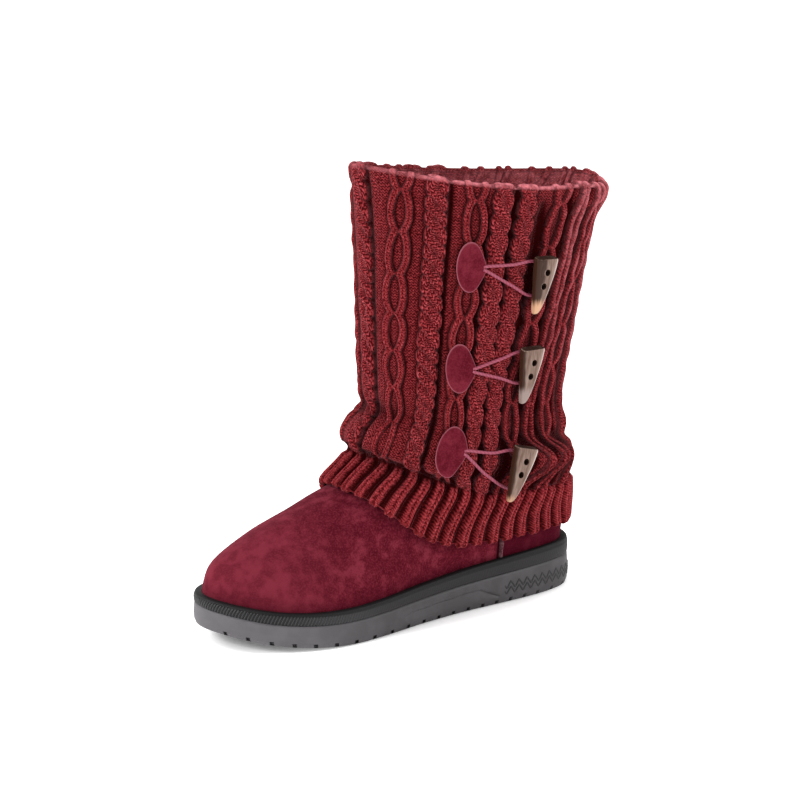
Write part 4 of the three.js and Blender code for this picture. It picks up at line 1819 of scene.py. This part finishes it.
    def _rows(self) -> PanelRows:
        """Works out the rows that every panel has.

        Returns:
            The rows, hem first.
        """
        top, broken = self.form.top, self.inside_break
        hem = np.linspace(math.pi, 0, self.hem_rows)[:-1]
        rim = np.linspace(0, math.pi, self.rim_rows)[1:]
        climb = np.linspace(0, top, round(top / self.row_step))
        stretches = zip((top, broken), (broken, self.inside_end), self.inside_rows)
        down = np.concatenate([np.linspace(*stretch)[1:] for stretch in stretches])
        inside = between(self.form.wall, 2 * self.rim_radius, smoothstep(down, self.rim_from, top))
        by_stretch = {
            "ups": (0 * hem, climb, 0 * rim + top, down),
            "turns": (hem, 0 * climb, rim, 0 * down + math.pi),
            "inward": (
                self.hem_radius * (1 - np.cos(hem)),
                0 * climb,
                self.rim_radius * (1 - np.cos(rim)),
                inside,
            ),
            "fade": (
                between(*self.hem_fade, hem / math.pi),
                between(1, self.rim_fade[0], smoothstep(climb, top - self.rim_fade_reach, top)),
                between(*self.rim_fade, smoothstep(rim, 0, self.rim_fade_turn)),
                between(*self.inside_fade, smoothstep(down, *self.inside_fade_up)),
            ),
        }
        return PanelRows(**{name: np.concatenate(tables) for name, tables in by_stretch.items()})

    def _lines(self) -> dict[str, Array]:
        """Spreads the columns evenly over the panels.

        Returns:
            By panel, the places of its columns, counted in cables from the back.
        """
        ring = self._centres(np.array([self.even_at]))[0]
        cables = np.arange(len(ring))
        ends = (*self.seams[1:], self.count + self.seams[0])
        lines = {}
        for name, *span in zip(self.panel_names, self.seams, ends):
            first, last = np.interp(span, cables, ring)
            even = np.linspace(first, last, round((last - first) * self.columns) + 1)
            lines[name] = np.interp(even, ring, cables)
        return lines

    def build(self) -> None:
        """Makes the four panels."""
        knit = KnitFinish().material()
        rows = self._rows()
        over_rim = (rows.ups > self.form.top / 2) & (rows.turns < math.pi)
        pattern = np.where(over_rim, rows.ups + self.rim_rise * rows.turns, rows.ups)
        inside = rows.turns[:, None] > self.INSIDE_TURN
        low, high = self.relief_range
        for name, line in self._lines().items():
            weave = self.relief(line, pattern)
            relief = np.maximum(weave.height, self.deepest) * rows.fade[:, None]
            relief = np.where(inside, np.maximum(relief, self.deepest_inside), relief)
            # Painted light lifts the inside of the rim; outside, painted shade darkens the knit beside the
            # strands.
            tone = np.where(inside, relief + self.inside_light, relief - self.shade_depth * weave.shade)
            share = self.shares(line, rows.ups)
            draft = Draft(f"knit_{name}").add(
                self._panel(share, rows, relief),
                relief=np.clip((tone - low) / (high - low), 0, 1),
                lane=weave.lane,
                lay=weave.lay,
                plain=weave.plain,
                edge=self._painted_highlight(share, rows, weave.height),
            )
            seat(draft.build(knit), "knit", "knit_shaft")

    def _painted_highlight(self, share: Array, rows: PanelRows, height: Array) -> Array:
        """How much painted highlight the yarn gets: along the rim, as painted light inside it, and on the
        strands that catch the light.

        Args:
            share: Share of the girth, rows by columns.
            rows: The panel's rows.
            height: Height of the relief, rows by columns.

        Returns:
            From 0 to 1, rows by columns.
        """
        ups, turns = rows.ups, rows.turns
        at_rim = ups > self.form.top / 2
        inside = smoothstep(turns, self.inside_painted_light_turn, math.pi) * smoothstep(ups, *self.inside_painted_light_up)
        inside = np.where(at_rim, self.inside_painted_light * inside, 0)[:, None]
        rim = hill(turns, *self.rim_highlight) * smoothstep(turns, 0, self.rim_highlight_from)
        rim = np.where(at_rim, rim, 0)[:, None]
        from_bright, from_lit_crowns = (
            np.abs((share + at) % 1 - 0.5) for at in (self.rim_bright, self.lit_crowns_at)
        )
        facing = between(1, self.rim_dim, smoothstep(from_bright, *self.rim_bright_shares))
        lit_crowns = self.lit_crowns * (1 - smoothstep(from_lit_crowns, *self.lit_crowns_shares))
        lit_crowns = lit_crowns * smoothstep(height, *self.lit_crowns_heights) * smoothstep(ups, *self.lit_crowns_up)[:, None]
        lit_crowns = lit_crowns * (turns[:, None] < self.INSIDE_TURN)
        return np.maximum(np.maximum(rim * facing, inside), lit_crowns)

    def _panel(self, share: Array, rows: PanelRows, relief: Array) -> Array:
        """Points of one panel.

        Args:
            share: Share of the girth, rows by columns.
            rows: The panel's rows.
            relief: Height of the relief, rows by columns.

        Returns:
            Rows by columns by three.
        """
        ups, top = rows.ups, self.form.top
        at_hem = ups < top / 2
        climb = self.form.at(share[0], self.hem_probe) - self.form.at(share[0], 0.0)
        away = np.where(at_hem[:, None, None], -unit(climb)[None], np.array([0.0, 0.0, 1.0]))
        rise = np.where(at_hem, self.hem_radius, self.rim_rise)
        normal = self.form.normal(share, ups[:, None])
        turn = rows.turns[:, None, None]
        points = self.form.at(share, ups[:, None], -rows.inward[:, None])
        points = points + away * (np.sin(turn) * rise[:, None, None])
        whole, tilt, sides = self.rim_lift
        outer = np.sin(math.tau * share)
        lift = whole + tilt * outer + sides * np.abs(outer)
        lift = lift * smoothstep(ups, self.rim_from, top)[:, None]
        corner = hill((share - self.corner_at + 0.5) % 1, 0.5, self.corner_width)
        corner = corner * smoothstep(ups, self.corner_from, top)[:, None]
        points[..., 2] += lift - self.corner_drop * corner
        return points + (normal * np.cos(turn) + away * np.sin(turn)) * relief[..., None]


@dataclass
class Lining:
    """The fleece inside the foot: up the wall, over the collar to the knit, and the footbed."""

    upper: UpperForm
    knit: KnitForm
    columns: int = 240
    wall_rows: int = 50
    collar_rows: int = 12
    first_row: float = 0.35
    collar_up: Span = (66.0, 52.0)
    collar_ease: Span = (-0.4, 1.2)
    collar_bend: float = 0.8
    clearance: float = 0.4
    pile: float = 0.6
    tuft: float = 0.5
    tuft_waves: tuple[Span, Span] = ((37.0, 9.0), (23.0, -13.0))
    bed_inset: float = 9.0
    bed_thick: float = 4.3
    bed_edge: tuple[Span, ...] = ((0.0, 0.4), (0.0, 0.75), (0.8, 1.0))
    bed_insets: tuple[float, ...] = (3, 7, 12, 18, 24, 29)
    bed_half: float = 30.0
    bed_dish: float = 0.12

    def build(self) -> None:
        """Makes the wall lining and the footbed."""
        fleece = FleeceFinish().material()
        angle = even_angles(self.columns)
        rows = np.linspace(self.first_row, self.upper.top_row, self.wall_rows)[:, None]
        depth = self.upper.wall + self.clearance + self.pile
        tufts = crossed_waves(self.tuft, angle, rows, self.tuft_waves)
        wall = self.upper.raised(angle[None], rows, tufts - depth)
        share = self._shares(wall[-1])
        up = between(*self.collar_up, toe_share(share * math.tau))
        edge = self.knit.at(share, up, -self.knit.wall - self.clearance)
        step = np.linspace(0, 1, self.collar_rows + 1)[1:, None, None]
        collar = between(wall[-1], edge, smoothstep(step, *self.collar_ease))
        collar[..., 2] = between(wall[-1][:, 2], edge[:, 2], step[..., 0] ** self.collar_bend)
        lining = Draft("foot_lining").add(np.concatenate([wall, collar])[::-1], wrap=True)
        seat(lining.build(fleece), "lining")
        seat(self._bed(angle).build(fleece, weld=True), "lining", "insole")

    def _shares(self, ring: Array) -> Array:
        """The share of its own length at each point of a ring."""
        steps = np.linalg.norm(np.roll(ring, -1, axis=0) - ring, axis=1)
        return lengths_after(steps)[:-1] / steps.sum()

    def _bed(self, angle: Array) -> Draft:
        """The footbed, slightly dished.

        Args:
            angle: Places round its edge.

        Returns:
            The footbed.
        """
        sole = self.upper.sole
        turns = [inset / self.bed_half * math.pi / 2 for inset in self.bed_insets]
        dish = [1 - self.bed_dish * math.sin(turn) for turn in turns]
        rows = []
        for inset, rise in (*self.bed_edge, *zip(self.bed_insets, dish)):
            x, y, along = sole.edge(angle, self.bed_inset + inset)
            rows.append(np.stack([x, y, sole.top(along) + self.bed_thick * rise], axis=-1))
        middle = rows[-1].copy()
        middle[:, 0] = sole.plan("centre", toe_share(angle))
        return Draft("footbed").add(np.stack([*rows, middle]), wrap=True)


@dataclass(frozen=True)
class FasteningPlace:
    """Where a patch and its toggle sit on the knit."""

    name: str
    patch_at: float
    patch_up: float
    toggle_at: float
    toggle_up: float
    turn: float
    stand: float
    horn: HornFinish


@dataclass
class Fastening:
    """One suede patch, its cord loop and its horn toggle."""

    END_SLOT = 1
    PINCHED = 0.02

    knit: KnitForm
    place: FasteningPlace
    patch_size: Span = (17.2, 31.0)
    patch_points: int = 96
    patch_lift: float = 1.7
    patch_tab: float = 2.0
    patch_tab_power: int = 12
    patch_rim: float = 0.035
    patch_rim_from: float = 0.2
    patch_profile: tuple[Span, ...] = (
        *((PINCHED, 0.0), (0.6, 0.0), (0.97, 0.0), (1.0, 0.3), (1.005, 0.8), (0.995, 1.25)),
        *((0.975, 1.55), (0.94, 1.7), (0.88, 1.74), (0.7, 1.8), (0.45, 1.9), (0.2, 1.95)),
        (PINCHED, 1.95),
    )
    cord_radius: float = 1.0
    cord_lift: float = 2.8
    cord_spread: float = 10.0
    cord_legs: float = 1.4
    cord_behind: float = 14.0
    cord_tuck: float = 2.4
    cord_root: float = 0.6
    cord_bend: Span = (0.45, 0.6)
    cord_far: float = 0.92
    cord_past: float = 0.008
    cord_points: int = 160
    cord_sides: int = 14
    braid_pitch: float = 2.6
    toggle_sides: int = 64
    toggle_rows: int = 44
    toggle_taper: float = 1.4
    toggle_roundness: float = 0.36
    toggle_back: float = 0.1
    toggle_reach: float = 9.0
    toggle_probe: float = 30.0
    toggle_lip: Span = (0.93, 0.985)
    toggle_tip: tuple[Span, ...] = ((0.5, 0.86), (0.85, 0.55), (1.0, 0.03))
    toggle_sharp_deg: float = 42.0
    cap_shares: Triple = (PINCHED, 0.5, 1.0)
    hole_radius: float = 2.1
    hole_slack: float = 1.01
    hole_sides: int = 32
    hole_profile: tuple[Span, ...] = ((PINCHED, -3.0), (1.0, -3.0), (1.0, 16.0), (PINCHED, 16.0))
    holes: tuple[Span, ...] = ((0.9, 9.8), (-1.2, 18.4))
    toggle_sections: Table = Table(
        "down width thick bow",
        [
            (0.0, 18.0, 5.4, 1.1),
            (9.0, 16.0, 5.4, 0.3),
            (19.0, 12.2, 5.0, -1.1),
            (28.0, 8.2, 4.4, -2.5),
            (33.5, 5.4, 3.6, -3.4),
            (36.5, 3.0, 2.2, -3.7),
        ],
    )

    def build(self, suede: Material, cord: Material, end: Material) -> None:
        """Makes the patch, the cord and the toggle.

        Args:
            suede: The patch's material.
            cord: The cord's material.
            end: The material of the toggle's sawn end.
        """
        name = self.place.name
        seat(self._patch().build(suede, weld=True), "suede", f"patch_{name}")
        seat(self._cord().build(cord), "cord", f"cord_{name}")
        seat(self._toggle(self.place.horn.material(), end), "horn", f"toggle_{name}")

    def _patch(self) -> Draft:
        """The oval patch with its tab, a crowned disc laid on the knit.

        Returns:
            The patch, with its rim kept on the points.
        """
        angle = even_angles(self.patch_points)
        scale, height = columns_of(self.patch_profile)
        tab = self.patch_tab * np.maximum(0, np.cos(angle)) ** self.patch_tab_power
        across = (self.patch_size[0] / 2 * np.cos(angle) + tab) * scale
        up = self.place.patch_up + self.patch_size[1] / 2 * np.sin(angle) * scale
        share = self.place.patch_at - across / self.knit.girth(self.place.patch_up)
        rim = hill(scale, 1.0, self.patch_rim) * (height > self.patch_rim_from)
        points = self.knit.at(share, up, self.patch_lift + height)
        rim = np.broadcast_to(rim, across.shape)
        return Draft(f"suede_patch_{self.place.name}").add(points, wrap=True, edge=rim)

    def _route(self) -> Array:
        """The cord's middle line: out from the tab, behind the toggle, and back.

        Returns:
            Close points along it.
        """
        spot = self.place
        girth = float(self.knit.girth(spot.patch_up))
        start = spot.patch_at - (self.patch_size[0] / 2 + self.patch_tab) / girth
        behind = spot.toggle_up - self.cord_behind
        along, rise = self.cord_bend
        outward = []
        for side in (1, -1):
            far = behind + side * self.cord_spread
            outward.append(
                [
                    (start + self.cord_tuck / girth, spot.patch_up + side * self.cord_legs * self.cord_root),
                    (start, spot.patch_up + side * self.cord_legs),
                    (between(start, spot.toggle_at, along), between(spot.patch_up, far, rise)),
                    (between(start, spot.toggle_at, self.cord_far), far),
                ]
            )
        stops = np.array([*outward[0], (spot.toggle_at - self.cord_past, behind), *outward[1][::-1]])
        points = self.knit.at(stops[:, 0], stops[:, 1], self.cord_lift)
        chord = lengths_after(np.linalg.norm(np.diff(points, axis=0), axis=1))
        return SmoothCurve(chord, points)(np.linspace(0, chord[-1], self.cord_points))

    def _cord(self) -> Draft:
        """The round cord along its route, with the lay of its braid kept on the points.

        Returns:
            The cord.
        """
        route = self._route()
        ahead = unit(np.gradient(route, axis=0))
        side = unit(np.cross(ahead, unit(self.knit.normal(self.place.toggle_at, self.place.toggle_up))))
        out = np.cross(side, ahead)
        angle = even_angles(self.cord_sides)
        run = lengths_after(np.linalg.norm(np.diff(route, axis=0), axis=1))
        LOG.info("cord %s: %.0f mm long", self.place.name, run[-1])
        ring = side[:, None] * np.cos(angle)[None, :, None] + out[:, None] * np.sin(angle)[None, :, None]
        lay = run[:, None] / self.braid_pitch + 2 * angle[None] / math.tau
        points = route[:, None] + self.cord_radius * ring
        return Draft(f"cord_loop_{self.place.name}").add(points, wrap=True, braid=lay)

    def _axes(self) -> Matrix:
        """The toggle's own axes, X across, Y down and Z out.

        Returns:
            Their matrix, in metres.
        """
        spot = self.place
        origin = self.knit.at(spot.toggle_at, spot.toggle_up, spot.stand)
        out = Vector(self.knit.normal(spot.toggle_at, spot.toggle_up))
        below = self.knit.at(spot.toggle_at, spot.toggle_up - self.toggle_probe, spot.stand)
        down = Vector(below - origin).normalized()
        down.rotate(Matrix.Rotation(spot.turn, 3, out))
        across = out.cross(down).normalized()
        down = out.cross(across) * -1
        axes = Matrix((across, down, out)).transposed().to_4x4()
        return Matrix.Translation(Vector(origin) * MM) @ axes

    def _toggle(self, horn: Material, end: Material) -> Object:
        """The tapered toggle with its slanted sawn end and two holes.

        Args:
            horn: Its main material.
            end: The material of its sawn end.

        Returns:
            The toggle, in its place.
        """
        circle = even_angles(self.toggle_sides)
        neck = self.toggle_sections.keys[-1] - 1
        tip_down, tip_width = np.array(self.toggle_tip).T
        down = np.concatenate([np.linspace(0, neck, self.toggle_rows), neck + tip_down])[:, None]
        width, thick = (self.toggle_sections(name, down) / 2 for name in ("width", "thick"))
        straight = np.ones(self.toggle_rows - len(self.toggle_lip))
        ends = np.concatenate([self.toggle_lip, straight, tip_width])[:, None]
        wide, shade_and_dark_flecks = (
            np.sign(wave) * np.abs(wave) ** self.toggle_roundness
            for wave in (np.cos(circle), np.sin(circle))
        )
        across = self.toggle_sections("bow", down) + width * wide * ends
        out = self.toggle_back + thick * (1 + shade_and_dark_flecks * ends)
        slant = self.toggle_taper * out / (2 * thick) * np.clip(1 - down / self.toggle_reach, 0, 1)
        body = np.stack(np.broadcast_arrays(across, down + slant, out), axis=-1)
        rim, middle = body[0], body[0].mean(axis=0)
        cap = np.stack([between(middle, rim, share) for share in self.cap_shares])
        draft = Draft(f"horn_toggle_{self.place.name}")
        draft.add(body, wrap=True, side=np.broadcast_to(wide, body.shape[:2]))
        draft.add(cap, wrap=True, slot=self.END_SLOT, side=np.zeros(cap.shape[:2]))
        toggle = draft.build(horn, end, weld=True)
        self._drill(toggle)
        toggle.matrix_world = self._axes()
        return toggle

    def _drill(self, toggle: Object) -> None:
        """Cuts the two holes through the toggle.

        Args:
            toggle: The toggle, in its own axes.
        """
        turn = even_angles(self.hole_sides)
        circle = np.stack([np.cos(turn), np.sin(turn)], axis=-1)
        cutters = []
        for place in self.holes:
            rows = []
            for radius, out in self.hole_profile:
                ring = circle * radius * self.hole_radius + place
                rows.append(np.column_stack([ring, np.full(len(ring), out)]))
            cutters.append(Draft("hole").add(np.stack(rows)[::-1], wrap=True).build(weld=True))
        for cutter in cutters:
            cut = toggle.modifiers.new(cutter.name, "BOOLEAN")
            cut.object = cutter
            cut.solver = "EXACT"
        shape = toggle.evaluated_get(bpy.context.evaluated_depsgraph_get())
        drilled = bpy.data.meshes.new_from_object(shape)
        toggle.modifiers.clear()
        toggle.data = drilled
        for face in drilled.polygons:
            x, y, _ = face.center / MM
            off = min(math.dist((x, y), place) for place in self.holes)
            if off < self.hole_radius * self.hole_slack and abs(face.normal.z) < 0.5:
                face.material_index = self.END_SLOT
        drilled.set_sharp_from_angle(angle=math.radians(self.toggle_sharp_deg))
        for cutter in cutters:
            bpy.data.objects.remove(cutter)


@dataclass(frozen=True)
class Lamp:
    """A square soft lamp: its place and its size in metres, its power in watts."""

    name: str
    place: Triple
    size: float
    power: float


@dataclass
class Studio:
    """A pale floor, soft lights and the camera at the photograph's angle; metres and degrees."""

    camera_at: Triple = (1.40989, -0.96639, 0.55976)
    azimuth: float = 55.338
    elevation: float = 13.891
    lens: float = 125.85
    floor_half: float = 30.0
    floor_colour: Colour = (0.96, 0.96, 0.96)
    floor_glow: float = 0.52
    floor_tooth_mm: float = 3.0
    floor_depth_mm: float = 0.02
    shadow_reach: Span = (0.058, 0.145)
    shadow_edge: Span = (0.6, 1.2)
    shadow_glow: Colour = (0.25, 0.25, 0.25)
    sky: float = 0.61
    lamps: tuple[Lamp, ...] = (
        Lamp("key", place=(0.13, -1.95, 1.3), size=0.7, power=29.0),
        Lamp("side", place=(1.75, 1.7, 1.1), size=0.7, power=38.0),
        Lamp("rim", place=(-1.5, -1.1, 1.2), size=0.7, power=23.0),
        Lamp("top", place=(-0.3, 0.2, 2.6), size=1.2, power=14.0),
    )
    aim: Triple = (0.0, 0.0, 0.15)

    def build(self) -> None:
        """Sets the floor, the lights, the world and the camera."""
        scene = bpy.context.scene
        scene.view_settings.view_transform = "Standard"
        self._floor()
        world = bpy.data.worlds.new("studio")
        world.use_nodes = True
        sky = world.node_tree.nodes["Background"].inputs
        sky["Color"].default_value = (1, 1, 1, 1)
        sky["Strength"].default_value = self.sky
        scene.world = world
        for lamp in self.lamps:
            light = bpy.data.lights.new(lamp.name, "AREA")
            light.size = lamp.size
            light.energy = lamp.power
            stand = bpy.data.objects.new(lamp.name, light)
            stand.location = lamp.place
            ahead = Vector(self.aim) - Vector(lamp.place)
            stand.rotation_euler = ahead.to_track_quat("-Z", "Y").to_euler()
            scene.collection.objects.link(stand)
        view = bpy.data.cameras.new("photo_angle")
        view.lens = self.lens
        view.clip_end = 100
        camera = bpy.data.objects.new("photo_angle", view)
        turn, tilt = math.radians(self.azimuth), math.radians(self.elevation)
        flat = math.cos(tilt)
        ahead = Vector((-math.sin(turn) * flat, math.cos(turn) * flat, -math.sin(tilt)))
        camera.location = self.camera_at
        camera.rotation_euler = ahead.to_track_quat("-Z", "Y").to_euler()
        scene.collection.objects.link(camera)
        scene.camera = camera

    def _floor(self) -> None:
        """A large plain floor with a faint tooth, which glows less under the boot."""
        mesh = bpy.data.meshes.new("floor")
        half = self.floor_half
        corners = [(-half, -half, 0), (half, -half, 0), (half, half, 0), (-half, half, 0)]
        mesh.from_pydata(corners, [], [(0, 1, 2, 3)])
        floor = bpy.data.objects.new("floor", mesh)
        shader = Shader("pale_floor")
        place = shader.place()
        tooth = shader.noise(place, self.floor_tooth_mm, 2)
        reaches = zip("XY", self.shadow_reach)
        across, along = (shader.part(place, axis) / reach for axis, reach in reaches)
        clear = (across * across + along * along).eased(*self.shadow_edge)
        mesh.materials.append(
            shader.finish(
                Base_Color=self.floor_colour,
                Emission_Color=shader.mix(clear, self.shadow_glow, (1, 1, 1)),
                Emission_Strength=self.floor_glow,
                Roughness=0.9,
                Specular_IOR_Level=0.1,
                Normal=shader.bump(tooth, self.floor_depth_mm),
            )
        )
        bpy.context.scene.collection.objects.link(floor)


AMBER: Colour = (0.480, 0.270, 0.160)
ASH: Colour = (0.24, 0.18, 0.16)
FASTENINGS: tuple[FasteningPlace, ...] = (
    FasteningPlace(
        name="top", patch_at=0.334, patch_up=169,
        toggle_at=0.218, toggle_up=178.5, turn=0.045, stand=4.1,
        horn=HornFinish("horn_top", tip=AMBER, tip_from=26, smoke_to=-0.1),
    ),
    FasteningPlace(
        name="middle", patch_at=0.341, patch_up=105.4,
        toggle_at=0.224, toggle_up=123, turn=0.045, stand=4.1,
        horn=HornFinish("horn_middle", tip=ASH, tip_from=24, smoke_to=-0.68),
    ),
    FasteningPlace(
        name="bottom", patch_at=0.349, patch_up=52,
        toggle_at=0.236, toggle_up=59, turn=-0.18, stand=5.1,
        horn=HornFinish("horn_bottom", tip=AMBER, tip_from=31, smoke_to=-0.68),
    ),
)


def main() -> None:
    """Builds the studio, then the boot from the sole up."""
    logging.basicConfig(level=logging.INFO, format="%(name)s %(message)s")
    sole = SoleForm()
    upper = UpperForm(sole)
    knit = KnitForm(upper)
    Studio().build()
    Outsole(sole).build()
    Foxing(sole).build()
    Upper(upper).build()
    Lining(upper, knit).build()
    KnitShaft(knit).build()
    suede = PATCH_SUEDE.material()
    cord = CordFinish().material()
    end = HornEndFinish().material()
    for place in FASTENINGS:
        Fastening(knit, place).build(suede, cord, end)


if __name__ == "__main__":
    main()
